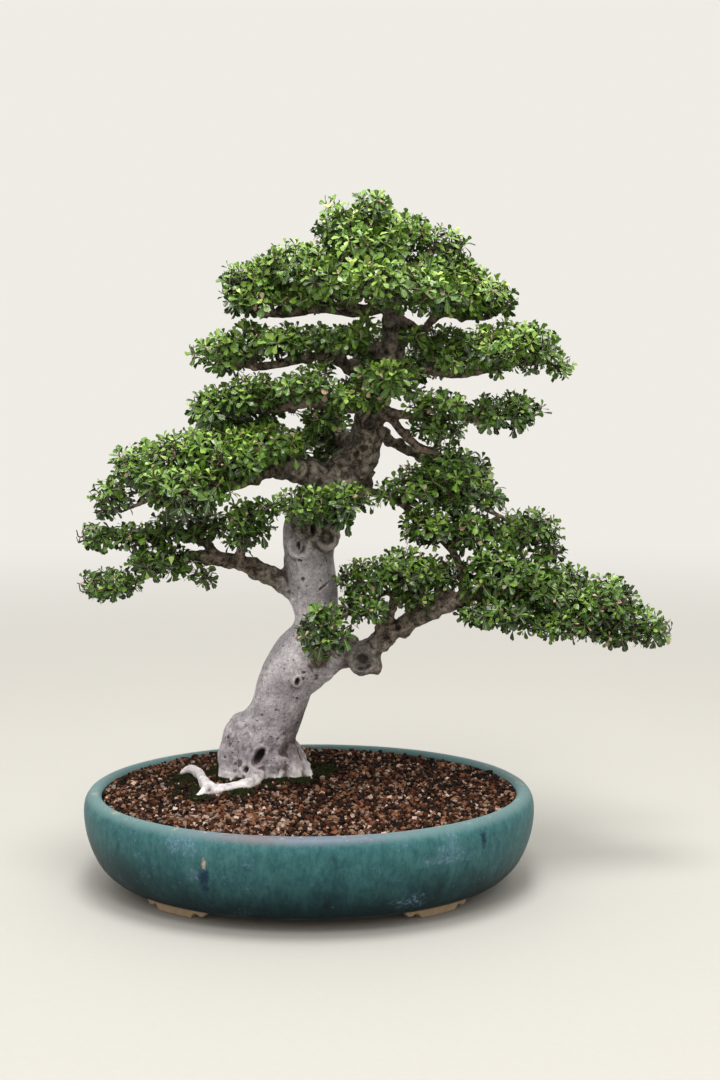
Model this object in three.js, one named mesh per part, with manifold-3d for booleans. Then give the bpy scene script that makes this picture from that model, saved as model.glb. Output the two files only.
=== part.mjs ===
// A bonsai tree in its oval glazed pot, in millimetres, +Z up.
// The tree is laid out from the centre of the pot's foot plane, and the finished group is then
// moved so that the middle of its bounding box stands on the origin.
import * as THREE from "three";
import { mergeVertices } from "three/addons/utils/BufferGeometryUtils.js";
import Module from "manifold-3d";

const wasm = await Module();
wasm.setup();

// Driving dimensions
const CLEARANCE = 0.4; // gap between two pieces that rest on or in each other

const POT = {
  halfLength: 250, // outside, along X
  halfWidth: 197, // outside, along Y
  height: 106, // floor plane to the rim's top
  footHeight: 9,
  floorTop: 21, // inside floor
  segments: 40,
  drainRadius: 13,
  drainOffset: 92, // each drain hole's distance from the middle, along X
};
const POT_FOOT = {
  outerInset: 40, // from the pot's outline in to the foot's outside
  thickness: 17,
  middleAngle: 48, // degrees from the X axis, seen from above
  halfSpread: 12.5, // degrees, of the upper tier
  lobeSpread: 8.5, // degrees, of the lobe that stands on the table
  lobeHeight: 6,
  steps: 3, // straight facets along a foot
  embed: 3, // depth of the foot's top inside the pot's base
};
const SCREEN = { size: 42, thickness: 1.6, openings: 3, bar: 3 };
const SOIL = { edgeHeight: 99.5, mound: 7, moundReach: 85, grain: 1.3, rings: 4 };
const TRUNK_BASE = { x: -58, y: 66 };
const TRUNK_SIDES = 14;
const LARGE_BURL = 15; // half width above which a swelling is rounded more finely
const SECTION_WAVES = [ // unevenness round a limb: waves in a turn, height, drift along the limb
  [3, 0.05, 0.7],
  [2, 0.03, -1.3],
];
const BUTTRESS = { waves: 5, height: 0.07, fadesOver: 3 }; // flutes of the trunk's foot
const WHORL = {
  leaves: 5,
  length: 36, // of a leaf, over twice life size, so that one whorl stands for several
  padShare: 0.85, // the most that a leaf's length may be of its pad's radius
  keel: 2, // thickness along a leaf's middle
  cup: 0.3, // rise of the leaf tips, as a share of their length
  neck: 0.2, // radius of the ring where the leaves meet, as a share of their length
  perPadRadius: 0.043, // whorls on a pad, for each millimetre of its radius
  sizes: [1, 0.88, 0.76, 0.66], // tried in turn where a whorl would cross another
  lowestFacing: -0.3, // a pad's underside has none where it faces down more than this
  upwardPull: 0.4, // how far each whorl turns from the pad's surface towards the light
  hubShare: 0.83, // a whorl's hub, as a share of the way from the pad's middle to its surface
};
const CORE_SHARE = 0.78; // size of a pad's twiggy core, which its leaves stand out of
const TWIG = { radius: 4.5, sides: 3, leastOverlap: 400 };

const COLOURS = {
  glaze: { color: 0x3f7d72, roughness: 0.25, metalness: 0 },
  soil: { color: 0x6b4a38, roughness: 0.95, metalness: 0 },
  screen: { color: 0x22282a, roughness: 0.6, metalness: 0 },
  bark: { color: 0xa59d97, roughness: 0.85, metalness: 0 },
  leaf: { color: 0x3c7a2a, roughness: 0.4, metalness: 0 },
};

// The woody limbs: each point is [x, y, z, radius], from where the limb leaves its parent.
const TRUNK = [
  [-58, 66, 72, 48],
  [-60, 66, 108, 49],
  [-60, 64, 140, 45.5],
  [-52, 62, 157, 38.5],
  [-41, 60, 176, 33],
  [-28, 57, 205, 31],
  [-12, 54, 236, 31],
  [1, 52, 264, 28.5],
  [7, 50, 290, 26],
  [4, 49, 311, 27],
  [1, 48, 334, 29.5],
  [-1, 46, 359, 28.5],
  [1, 44, 389, 31],
  [12, 44, 417, 30.5],
  [32, 44, 443, 25.5],
  [52, 44, 466, 22],
  [61, 44, 485, 19.5],
  [65, 44, 507, 18],
  [72, 44, 529, 15.5],
  [85, 44, 551, 14.5],
  [94, 44, 577, 13.5],
  [95, 44, 601, 10],
  [94, 44, 625, 9],
  [90, 42, 649, 7.5],
  [78, 38, 679, 6],
  [67, 34, 709, 4],
  [64, 34, 739, 2],
];
const LIMBS = {
  left_main: [
    [23, 44, 443, 14.5], [3, 30, 458, 13], [-12, 20, 460, 11.5], [-27, 16, 462, 9], [-42, 12, 458, 7],
    [-60, 10, 451, 6], [-80, 12, 442, 5],
  ],
  left_low: [
    [-11, 48, 322, 13.5], [-29, 44, 329, 12.5], [-47, 38, 339, 10.5], [-60, 36, 347, 10],
    [-78, 33, 354, 9.5], [-94, 30, 360, 8.5], [-113, 28, 364, 6], [-140, 26, 362, 5],
  ],
  right_low: [
    [-5, 54, 224, 19.5], [12, 48, 230, 15.5], [29, 42, 240, 13], [45, 36, 247, 12.5],
    [61, 31, 252, 12.5], [77, 28, 263, 12], [91, 27, 274, 10.5], [106, 26, 284, 10],
    [121, 26, 295, 9.5], [139, 26, 306, 9], [159, 26, 312, 9], [188, 26, 321, 7.5], [230, 28, 323, 6],
  ],
  right_inner: [[86, 28, 269, 8], [90, 20, 295, 5.5], [97, 4, 334, 4.5]],
  right_mid: [
    [70, 44, 521, 10], [90, 40, 515, 6.5], [105, 36, 497, 5], [123, 34, 482, 5], [141, 34, 475, 4.5],
  ],
  right_link: [
    [48, 44, 436, 8], [70, 40, 432, 5], [92, 34, 427, 4.5], [112, 32, 413, 4], [137, 32, 389, 4],
    [159, 30, 368, 4], [170, 28, 341, 4.5], [171, 26, 317, 5],
  ],
  right_thin: [[70, 44, 523, 9], [85, 40, 523, 5.5], [105, 36, 518, 4.5], [132, 34, 515, 4]],
  right_up: [
    [95, 44, 625, 7.5], [112, 42, 616, 5.5], [127, 42, 611, 4.5], [136, 44, 623, 4.5],
    [149, 44, 630, 4.5], [169, 44, 627, 4],
  ],
  right_up_low: [
    [97, 44, 548, 8], [112, 42, 558, 5], [128, 40, 567, 5], [146, 36, 565, 5], [169, 34, 564, 5],
    [191, 36, 567, 4.5],
  ],
  left_up: [
    [83, 44, 548, 10], [65, 40, 557, 9.5], [51, 34, 567, 9], [37, 30, 576, 6], [19, 28, 583, 5],
    [-5, 26, 580, 5], [-32, 26, 575, 4.5], [-60, 30, 572, 4],
  ],
  left_top: [
    [92, 42, 642, 7.5], [72, 36, 635, 7], [53, 32, 632, 6.5], [32, 30, 634, 6.5], [11, 29, 636, 6],
    [-9, 30, 632, 5.5], [-32, 32, 629, 4.5], [-58, 36, 631, 3.5],
  ],
  crown_front: [[90, 42, 645, 6.5], [85, 10, 647, 5.5], [82, -30, 650, 4]],
  crown_back: [[85, 40, 664, 5.5], [77, 66, 687, 4.5], [72, 86, 708, 3.5]],
  crown_right: [[87, 42, 653, 6.5], [109, 42, 658, 5.5], [134, 44, 671, 4.5]],
  upper_front: [[88, 44, 551, 8], [83, 14, 555, 5.5], [80, -18, 560, 4.5]],
  middle_left: [[72, 44, 529, 10], [45, 24, 529, 7], [11, -6, 534, 5.5]],
  back_upper: [[94, 50, 588, 9], [77, 88, 587, 7], [45, 124, 587, 4.5]],
  back_middle: [[63, 50, 492, 11], [47, 96, 487, 9], [21, 144, 484, 7]],
  back_right: [[65, 50, 507, 10], [102, 96, 480, 7.5], [150, 134, 459, 6], [187, 148, 446, 4.5]],
  center_front: [[5, 44, 400, 12.5], [7, 10, 413, 9], [11, -26, 426, 5.5]],
  front_low: [[9, 44, 231, 12.5], [15, -8, 260, 7], [17, -50, 283, 5.5]],
};
// Roots that leave the trunk's flare: one lies bare on the soil, the others hold the tree in it.
const ROOTS = {
  bare: [
    [-62, 28, 111, 11], [-65, 7, 107.5, 7.5], [-78, -6, 106.5, 5.2], [-104, -19, 106, 5.2],
    [-113, -9, 107, 5.8], [-121, 14, 108.5, 4.8], [-137, 47, 112, 3.9], [-148, 48, 106.5, 2.4],
  ],
  left: [[-82, 58, 108, 22], [-108, 54, 88, 13], [-140, 60, 66, 6]],
  right: [[-26, 60, 108, 21], [4, 56, 90, 12], [40, 62, 68, 6]],
  front: [[-44, 44, 104, 18], [-34, 16, 86, 11], [-14, -20, 64, 6]],
  back: [[-54, 92, 104, 22], [-52, 122, 84, 13], [-42, 150, 62, 7]],
  down: [[-56, 66, 74, 34], [-52, 66, 46, 16]],
};
// Swellings left by old cuts: [x, y, z, half width, half depth, half height]
const BURLS = [
  [-82, 51, 130, 22, 26, 27],
  [62, 26, 246, 20, 18, 21],
  [55, 33, 570, 9, 8, 9],
];
// Hollows where those cuts rotted back
const HOLLOWS = [
  [-60, 20, 133, 7, 9, 13],
  [60, 8, 248, 10, 5, 10],
];
// Leaf pads, a list for each spray: [x, y, z, half width, half depth, half height]
const PADS = {
  apex: [
    [69, 40, 740, 25, 26, 19], [39, 28, 722, 30, 30, 24], [105, 50, 723, 30, 32, 20],
    [148, 46, 702, 21, 26, 14], [67, 4, 695, 38, 28, 22], [70, 92, 713, 38, 32, 24],
  ],
  crown_left: [
    [-7, 28, 679, 42, 36, 22], [-62, 40, 668, 32, 34, 25], [-44, 26, 641, 38, 28, 10],
    [7, 14, 646, 26, 26, 12], [-25, 92, 673, 38, 32, 22], [31, -18, 664, 30, 28, 20],
  ],
  crown_right: [
    [142, 46, 677, 34, 32, 22], [182, 42, 649, 38, 34, 20], [134, -8, 651, 36, 30, 20],
    [159, 98, 664, 38, 32, 22],
  ],
  crown_front: [[84, -40, 657, 42, 30, 24]],
  upper_left: [[-74, 42, 598, 36, 32, 17], [-20, 18, 600, 38, 34, 14], [33, -4, 603, 26, 24, 14]],
  upper_right: [
    [242, 42, 590, 32, 32, 22], [196, 20, 589, 36, 34, 21], [146, 62, 590, 30, 30, 14],
    [161, 12, 575, 20, 22, 9], [224, 60, 612, 34, 28, 12],
  ],
  upper_front: [[89, -26, 558, 38, 30, 17], [52, -14, 541, 26, 26, 12]],
  middle_left: [
    [-5, 0, 549, 26, 30, 17], [-63, 30, 537, 34, 38, 20], [-105, 38, 526, 24, 30, 18],
    [24, -10, 554, 26, 28, 18], [-56, 96, 521, 42, 34, 20],
  ],
  middle_right: [[142, 14, 532, 28, 26, 13], [215, 50, 520, 40, 32, 17], [143, 26, 504, 24, 24, 12]],
  back_upper: [[45, 130, 589, 44, 38, 20], [119, 128, 571, 38, 34, 18]],
  back_middle: [[16, 150, 481, 40, 40, 24], [-85, 142, 483, 50, 40, 24]],
  back_right: [[177, 150, 443, 40, 40, 28]],
  left_upper: [
    [-49, 10, 486, 42, 38, 18], [-111, 24, 474, 46, 42, 27], [-174, 26, 458, 36, 38, 28],
    [-126, -28, 441, 42, 36, 22], [-219, 30, 424, 18, 22, 20], [-72, -24, 471, 30, 28, 16],
  ],
  left_lower: [
    [-67, -8, 400, 24, 26, 25], [-137, 44, 391, 40, 34, 15], [-162, 20, 357, 38, 32, 13],
    [-224, 28, 330, 27, 28, 13], [-239, 34, 383, 21, 18, 8], [-195, 34, 383, 22, 24, 10],
  ],
  center_front: [[-1, -34, 425, 30, 28, 15], [42, -36, 431, 30, 28, 16]],
  right_upper: [
    [154, 44, 463, 24, 30, 24], [176, 44, 436, 30, 34, 26], [123, 24, 438, 40, 32, 20],
    [128, 22, 394, 24, 26, 16], [175, 40, 387, 32, 32, 20], [251, 52, 391, 26, 28, 19],
  ],
  right_lower: [
    [212, 20, 343, 38, 34, 26], [206, 2, 303, 34, 30, 14], [264, 30, 328, 32, 32, 21],
    [271, 24, 288, 42, 34, 17], [328, 34, 309, 38, 32, 20], [345, 36, 274, 34, 28, 12],
    [391, 38, 276, 19, 18, 11], [284, 96, 327, 44, 36, 22],
  ],
  right_inner: [
    [105, 0, 348, 36, 32, 20], [146, 34, 341, 24, 26, 16], [61, -2, 339, 20, 24, 14],
    [61, -22, 314, 22, 24, 14],
  ],
  front_low: [[17, -60, 292, 25, 24, 23]],
};

// Helpers between three.js geometry and solids
function solidOf(geometry) {
  const bare = new THREE.BufferGeometry();
  const source = geometry.index ? geometry.toNonIndexed() : geometry;
  bare.setAttribute("position", source.getAttribute("position"));
  const merged = mergeVertices(bare, 1e-4);
  const index = merged.index.array;
  const kept = [];
  for (let i = 0; i < index.length; i += 3) {
    const [a, b, c] = [index[i], index[i + 1], index[i + 2]];
    if (a !== b && b !== c && c !== a) kept.push(a, b, c);
  }
  const build = (triangles) =>
    new wasm.Manifold(
      new wasm.Mesh({
        numProp: 3,
        vertProperties: new Float32Array(merged.attributes.position.array),
        triVerts: new Uint32Array(triangles),
      }),
    );
  const solid = build(kept);
  if (solid.volume() > 0) return solid;
  for (let i = 0; i < kept.length; i += 3) [kept[i + 1], kept[i + 2]] = [kept[i + 2], kept[i + 1]];
  return build(kept);
}

function geometryOf(solid) {
  const mesh = solid.getMesh();
  const positions = new Float32Array(mesh.numVert * 3);
  for (let i = 0; i < mesh.numVert; i++) {
    const start = i * mesh.numProp;
    positions.set(mesh.vertProperties.subarray(start, start + 3), i * 3);
  }
  const geometry = new THREE.BufferGeometry();
  geometry.setAttribute("position", new THREE.BufferAttribute(positions, 3));
  geometry.setIndex(new THREE.BufferAttribute(new Uint32Array(mesh.triVerts), 1));
  const flat = geometry.toNonIndexed();
  flat.computeVertexNormals();
  return flat;
}

// Works a solid out at once, so that what is made from it later doesn't start over
function settled(solid) {
  solid.numTri();
  return solid;
}

const union = (solids) => settled(solids.reduce((sum, solid) => sum.add(solid)));

function sharedVolume(first, second) {
  const common = first.intersect(second);
  const volume = common.volume();
  common.delete();
  return volume;
}

function largestBody(solid) {
  const bodies = solid.decompose();
  return bodies.reduce((best, body) => (body.volume() > best.volume() ? body : best));
}

function seededRandom(seed) {
  let state = seed;
  return () => {
    state = (state * 1664525 + 1013904223) % 4294967296;
    return state / 4294967296;
  };
}

function ellipsoid([x, y, z, rx, ry, rz], detail = 0, grow = 0) {
  const geometry = new THREE.IcosahedronGeometry(1, detail);
  geometry.scale(rx + grow, ry + grow, rz + grow).translate(x, y, z);
  return solidOf(geometry);
}

// Pot: the outline is an ellipse, and every ring of the profile is set in from it by the same
// distance along both axes, as a pressed pot's wall is.
const AXIS_DIFFERENCE = POT.halfLength - POT.halfWidth;
const OUTER_PROFILE = [
  [0, POT.footHeight],
  [212, POT.footHeight],
  [223, 16],
  [235, 29],
  [243.5, 47],
  [248.5, 67],
  [POT.halfLength, 84],
  [249, 97],
  [244.5, 103.5],
  [238, POT.height],
];
const INNER_PROFILE = [
  [233.5, 105],
  [230.5, 99],
  [236, 82],
  [234, 55],
  [220, 30],
  [195, POT.floorTop],
  [0, POT.floorTop],
];
const SQUEEZE_FROM = 150; // within this radius the rings keep one shape

function ovalLathe(profile, height = (radius, angle, z) => z) {
  const points = profile.map(([radius, z]) => new THREE.Vector2(radius, z));
  const geometry = new THREE.LatheGeometry(points, POT.segments);
  geometry.rotateX(Math.PI / 2);
  const position = geometry.attributes.position;
  for (let i = 0; i < position.count; i++) {
    const [x, y, z] = [position.getX(i), position.getY(i), position.getZ(i)];
    const radius = Math.hypot(x, y);
    const outer = Math.max(radius, SQUEEZE_FROM);
    const squeeze = (outer - AXIS_DIFFERENCE) / outer;
    position.setXYZ(i, x, y * squeeze, height(radius, Math.atan2(y, x), z));
  }
  return solidOf(geometry);
}

function footTier(halfSpread, top, bottom, sign) {
  const outer = POT.halfLength - POT_FOOT.outerInset;
  const shape = new THREE.Shape();
  const corner = (inset, degrees) => {
    const angle = THREE.MathUtils.degToRad(degrees);
    const radius = outer - inset;
    return [
      sign[0] * radius * Math.cos(angle),
      sign[1] * (radius - AXIS_DIFFERENCE) * Math.sin(angle),
    ];
  };
  const start = POT_FOOT.middleAngle - halfSpread;
  const step = (2 * halfSpread) / POT_FOOT.steps;
  const outline = [];
  for (let i = 0; i <= POT_FOOT.steps; i++) outline.push(corner(0, start + i * step));
  for (let i = POT_FOOT.steps; i >= 0; i--) outline.push(corner(POT_FOOT.thickness, start + i * step));
  outline.forEach(([x, y], i) => (i ? shape.lineTo(x, y) : shape.moveTo(x, y)));
  const geometry = new THREE.ExtrudeGeometry(shape, { depth: top - bottom, bevelEnabled: false });
  geometry.translate(0, 0, bottom);
  return solidOf(geometry);
}

function potSolid() {
  let pot = ovalLathe([...OUTER_PROFILE, ...INNER_PROFILE]);
  for (const sign of [[1, 1], [1, -1], [-1, 1], [-1, -1]]) {
    const top = POT.footHeight + POT_FOOT.embed;
    pot = pot.add(footTier(POT_FOOT.halfSpread, top, POT_FOOT.lobeHeight - POT_FOOT.embed, sign));
    pot = pot.add(footTier(POT_FOOT.lobeSpread, POT_FOOT.lobeHeight, 0, sign));
  }
  for (const side of [-1, 1]) {
    const hole = new THREE.CylinderGeometry(POT.drainRadius, POT.drainRadius, 4 * POT.floorTop, 16);
    hole.rotateX(Math.PI / 2).translate(side * POT.drainOffset, 0, 0);
    pot = pot.subtract(solidOf(hole));
  }
  return pot;
}

// Drain screens: a square net over each drain hole, under the soil
function screenSolid(side, grow = 0) {
  const z = POT.floorTop + CLEARANCE + SCREEN.thickness / 2;
  const plate = new THREE.BoxGeometry(
    SCREEN.size + 2 * grow, SCREEN.size + 2 * grow, SCREEN.thickness + 2 * grow,
  );
  plate.translate(side * POT.drainOffset, 0, z);
  let net = solidOf(plate);
  if (grow > 0) return net;
  const pitch = (SCREEN.size - SCREEN.bar) / SCREEN.openings;
  for (let i = 0; i < SCREEN.openings; i++) {
    for (let j = 0; j < SCREEN.openings; j++) {
      const hole = new THREE.BoxGeometry(pitch - SCREEN.bar, pitch - SCREEN.bar, 9);
      hole.translate(
        side * POT.drainOffset + (i - (SCREEN.openings - 1) / 2) * pitch,
        (j - (SCREEN.openings - 1) / 2) * pitch,
        z,
      );
      net = net.subtract(solidOf(hole));
    }
  }
  return net;
}

// Wood: a tapered limb along a smooth curve, its section a slightly lumpy circle
function limb(points, sides, grow = 0, flare = 0) {
  const curve = new THREE.CatmullRomCurve3(
    points.map(([x, y, z]) => new THREE.Vector3(x, y, z)), false, "centripetal",
  );
  const spans = points.length - 1;
  const vertices = [];
  let normal = new THREE.Vector3(0.31, -0.95, 0.11);
  for (let i = 0; i <= spans; i++) {
    const share = i / spans;
    const centre = new THREE.Vector3(...points[i]);
    const tangent = curve.getTangent(share);
    if (i === 0) centre.addScaledVector(tangent, -grow);
    if (i === spans) centre.addScaledVector(tangent, grow);
    normal = normal.clone().addScaledVector(tangent, -normal.dot(tangent)).normalize();
    const side = new THREE.Vector3().crossVectors(tangent, normal);
    const fade = Math.max(0, 1 - i / BUTTRESS.fadesOver);
    for (let j = 0; j < sides; j++) {
      const angle = (j / sides) * 2 * Math.PI;
      const lump = SECTION_WAVES.reduce(
        (sum, [waves, height, drift]) => sum + height * Math.sin(waves * angle + drift * i), 1,
      );
      const buttress = flare * fade * Math.cos(BUTTRESS.waves * angle);
      const reach = points[i][3] * (lump + buttress) + grow;
      vertices.push(
        centre.clone()
          .addScaledVector(normal, reach * Math.cos(angle))
          .addScaledVector(side, reach * Math.sin(angle)),
      );
    }
    if (i === 0 || i === spans) vertices.push(centre);
  }
  // The start's centre follows its ring, so later rings begin one place on.
  const ring = (i, j) => i * sides + (j % sides) + (i > 0 ? 1 : 0);
  const startCentre = sides;
  const endCentre = vertices.length - 1;
  const index = [];
  for (let j = 0; j < sides; j++) {
    index.push(startCentre, ring(0, j + 1), ring(0, j));
    index.push(endCentre, ring(spans, j), ring(spans, j + 1));
    for (let i = 0; i < spans; i++) {
      index.push(ring(i, j), ring(i, j + 1), ring(i + 1, j));
      index.push(ring(i, j + 1), ring(i + 1, j + 1), ring(i + 1, j));
    }
  }
  const geometry = new THREE.BufferGeometry().setFromPoints(vertices);
  geometry.setIndex(index);
  return solidOf(geometry);
}

function woodSolid(grow = 0) {
  const pieces = [limb(TRUNK, TRUNK_SIDES, grow, BUTTRESS.height)];
  for (const points of [...Object.values(LIMBS), ...Object.values(ROOTS)]) {
    pieces.push(limb(points, sidesFor(points[0][3]), grow));
  }
  for (const burl of BURLS) pieces.push(ellipsoid(burl, burl[3] > LARGE_BURL ? 1 : 0, grow));
  const wood = union(pieces);
  return grow > 0 ? wood : settled(wood.subtract(union(HOLLOWS.map((hollow) => ellipsoid(hollow)))));
}

function sidesFor(radius) {
  if (radius > 12) return 6;
  return 5;
}

// Soil: fills the pot up to a low mound at the trunk, with a grainy top
function soilSolid(woodGrown) {
  const rim = INNER_PROFILE.findIndex(([, z]) => z < SOIL.edgeHeight);
  const wall = INNER_PROFILE.slice(rim, -1).reverse();
  const inner = wall.map(([radius, z]) => [radius - 1.5 * CLEARANCE, z + CLEARANCE]);
  inner[inner.length - 1][1] -= CLEARANCE;
  const edge = inner[inner.length - 1][0];
  const profile = [[0, POT.floorTop + CLEARANCE], ...inner];
  for (let i = 0; i <= SOIL.rings; i++) {
    profile.push([edge * (1 - (i / SOIL.rings) ** 1.15), SOIL.edgeHeight]);
  }
  const random = seededRandom(11);
  const bumps = new Map();
  const top = (radius, angle, z) => {
    if (z < SOIL.edgeHeight) return z;
    const turn = radius > 1 ? Math.round(angle * 100) % 314 : 0;
    const key = `${Math.round(radius)} ${turn}`;
    if (!bumps.has(key)) bumps.set(key, (random() - 0.5) * 2 * SOIL.grain);
    const x = radius * Math.cos(angle) - TRUNK_BASE.x;
    const y = radius * Math.sin(angle) * 0.75 - TRUNK_BASE.y;
    const mound = SOIL.mound * Math.exp(-(x * x + y * y) / (2 * SOIL.moundReach ** 2));
    return radius > edge - 1 ? z : z + mound + bumps.get(key);
  };
  let soil = ovalLathe(profile, top).subtract(woodGrown);
  for (const side of [-1, 1]) soil = soil.subtract(screenSolid(side, CLEARANCE));
  return largestBody(soil);
}

// Foliage: each pad is a small faceted core, and whorls of toothed leaves stand on its faces
function coreFaces([x, y, z, rx, ry, rz], spin) {
  const geometry = new THREE.IcosahedronGeometry(CORE_SHARE, 0);
  geometry.rotateZ(spin).scale(rx, ry, rz).translate(x, y, z);
  const corners = [];
  const position = geometry.attributes.position;
  for (let i = 0; i < position.count; i++) {
    corners.push(new THREE.Vector3().fromBufferAttribute(position, i));
  }
  return corners.filter((_, i) => i % 3 === 0).map((_, face) => corners.slice(3 * face, 3 * face + 3));
}

function solidFrom(triangles) {
  return settled(solidOf(new THREE.BufferGeometry().setFromPoints(triangles.flat())));
}

// Triangles between two rings that turn the same way and start at the same angle
function band(lower, upper) {
  const triangles = [];
  let [i, j] = [0, 0];
  while (i < lower.length || j < upper.length) {
    const [low, high] = [lower[i % lower.length], upper[j % upper.length]];
    if (i < lower.length && (i + 0.5) / lower.length <= (j + 0.5) / upper.length) {
      triangles.push([low, lower[(i + 1) % lower.length], high]);
      i++;
    } else {
      triangles.push([low, upper[(j + 1) % upper.length], high]);
      j++;
    }
  }
  return triangles;
}

// A whorl over one face of a core: its leaves, and the stalk that widens down to the face
function whorlOn(face, [x, y, z, rx, ry, rz], length) {
  const centre = new THREE.Vector3(x, y, z);
  const outward = face.reduce((sum, corner) => sum.add(corner), new THREE.Vector3());
  outward.divideScalar(face.length).sub(centre);
  const reach = Math.hypot(outward.x / rx, outward.y / ry, outward.z / rz);
  const hub = centre.addScaledVector(outward, WHORL.hubShare / reach);
  const normal = new THREE.Triangle(...face).getNormal(new THREE.Vector3());
  const axis = normal.clone();
  axis.z += WHORL.upwardPull;
  axis.normalize();
  const across = face[0].clone().sub(hub);
  across.addScaledVector(axis, -across.dot(axis)).normalize();
  const frame = new THREE.Matrix4().makeBasis(across, axis.clone().cross(across), axis).setPosition(hub);
  const at = (turn, share, drop = 0) => {
    const angle = (turn * 2 * Math.PI) / WHORL.leaves;
    const radius = share * length;
    const rise = WHORL.cup * length * share ** 1.4 - drop;
    return new THREE.Vector3(radius * Math.cos(angle), radius * Math.sin(angle), rise).applyMatrix4(frame);
  };
  const gaps = [];
  const leaves = [];
  for (let i = 0; i < WHORL.leaves; i++) {
    const teeth = [at(i + 0.2, 0.84), at(i + 0.52, 1), at(i + 0.8, 0.87)];
    const outline = [at(i, WHORL.neck), ...teeth, at((i + 1) % WHORL.leaves, WHORL.neck)];
    const keel = at(i + 0.5, 0.55, WHORL.keel);
    gaps.push(outline[0]);
    for (let j = 0; j + 1 < outline.length; j++) {
      leaves.push([hub, outline[j], outline[j + 1]], [outline[j + 1], outline[j], keel]);
    }
    leaves.push([outline[0], outline[outline.length - 1], keel]);
  }
  const below = at(0, 0, WHORL.keel);
  const underside = gaps.map((gap, i) => [gap, below, gaps[(i + 1) % gaps.length]]);
  const star = solidFrom([...leaves, ...underside]); // the leaves alone, to test what they cross
  return { face, hub, normal, leaves, star, stalk: band(face, gaps) };
}

const heightOf = (face) => face[0].z + face[1].z + face[2].z;

function distance(first, second) {
  return Math.hypot(first[0] - second[0], first[1] - second[1], first[2] - second[2]);
}

function isInside(point, [x, y, z, rx, ry, rz], share) {
  return Math.hypot((point.x - x) / rx, (point.y - y) / ry, (point.z - z) / rz) < share;
}

function nearestTo(place, others) {
  return others.reduce((best, other) => (distance(other, place) < distance(best, place) ? other : best));
}

// A twig ties a pad's core to the next one of its spray, or to the limb that bears it
function twig(from, to) {
  return limb([from, to].map((point) => [...point.slice(0, 3), TWIG.radius]), TWIG.sides);
}

function spraySolid(pads, otherCores, otherSprays, woodGrown, seed) {
  const random = seededRandom(seed);
  const allPads = Object.values(PADS).flat();
  const padFaces = pads.map((pad) => coreFaces(pad, random() * 2 * Math.PI));
  const cores = padFaces.map((faces) => solidFrom(faces));
  const parts = [twig(pads[0], nearestTo(pads[0], [TRUNK, ...Object.values(LIMBS)].flat()))];
  pads.slice(1).forEach((pad, i) => {
    const neighbour = nearestTo(pad, pads.slice(0, i + 1));
    const shared = sharedVolume(cores[i + 1], cores[pads.indexOf(neighbour)]);
    if (shared < TWIG.leastOverlap) parts.push(twig(neighbour, pad));
  });
  const stars = [];
  pads.forEach((pad, number) => {
    const radius = (pad[3] + pad[4]) / 2;
    const wanted = Math.max(1, Math.round(radius * WHORL.perPadRadius));
    const length = Math.min(WHORL.length, WHORL.padShare * radius) * (0.95 + 0.1 * random());
    const whorls = [];
    const faces = [...padFaces[number]].sort((a, b) => heightOf(b) - heightOf(a));
    for (const face of faces) {
      if (whorls.length === wanted) break;
      for (const size of WHORL.sizes) {
        const made = whorlOn(face, pad, size * length);
        if (made.normal.z < WHORL.lowestFacing) break;
        if (allPads.some((other) => other !== pad && isInside(made.hub, other, WHORL.hubShare))) break;
        const crosses = (solid) => sharedVolume(made.star, solid) > 1e-6;
        if (crosses(cores[number]) || stars.some(crosses) || otherSprays.some(crosses)) continue;
        if (sharedVolume(made.star, otherCores) > 1e-6) continue;
        whorls.push(made);
        stars.push(made.star);
        break;
      }
    }
    const bare = padFaces[number].filter((face) => !whorls.some((made) => made.face === face));
    parts.push(solidFrom([...bare, ...whorls.flatMap((made) => [...made.stalk, ...made.leaves])]));
  });
  const whole = settled(union(parts).subtract(otherCores));
  return settled(largestBody(settled(whole.subtract(woodGrown))));
}

function coreOf([x, y, z, ...radii]) {
  return [x, y, z, ...radii.map((radius) => CORE_SHARE * radius)];
}

// Assembly
const group = new THREE.Group();

function addNode(name, solid, finish) {
  const mesh = new THREE.Mesh(geometryOf(solid), new THREE.MeshStandardMaterial(finish));
  mesh.name = name;
  group.add(mesh);
}

const wood = woodSolid();
const woodGrown = woodSolid(CLEARANCE);
const pot = potSolid();
addNode("pot", pot, COLOURS.glaze);
addNode("soil", soilSolid(woodGrown), COLOURS.soil);
addNode("drain_screen_left", screenSolid(-1), COLOURS.screen);
addNode("drain_screen_right", screenSolid(1), COLOURS.screen);
addNode("trunk_and_branches", wood, COLOURS.bark);

const sprayNames = Object.keys(PADS);
const coresGrown = sprayNames.map((name) =>
  union(PADS[name].map((pad) => ellipsoid(coreOf(pad), 1, 1.5 * CLEARANCE))));
const sprays = [];
sprayNames.forEach((name, i) => {
  const otherCores = union(coresGrown.filter((_, other) => other !== i));
  sprays.push(spraySolid(PADS[name], otherCores, sprays, woodGrown, 100 + i));
  addNode(`foliage_${name}`, sprays[i], COLOURS.leaf);
});

const bounds = new THREE.Box3().setFromObject(group);
const middle = bounds.getCenter(new THREE.Vector3());
group.position.set(-Math.round(middle.x), -Math.round(middle.y), 0);

export default group;
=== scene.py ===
"""A fukien tea bonsai in its oval glazed pot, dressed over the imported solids.

Lengths in the tables are millimetres from the centre of the pot's foot plane, +Z up, +Y away
from the viewer. place() turns them into the metres of the shared frame.
"""

import math

import bpy
import numpy as np
from mathutils import Matrix, Vector, noise
from mathutils.bvhtree import BVHTree
from mathutils.kdtree import KDTree


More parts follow.
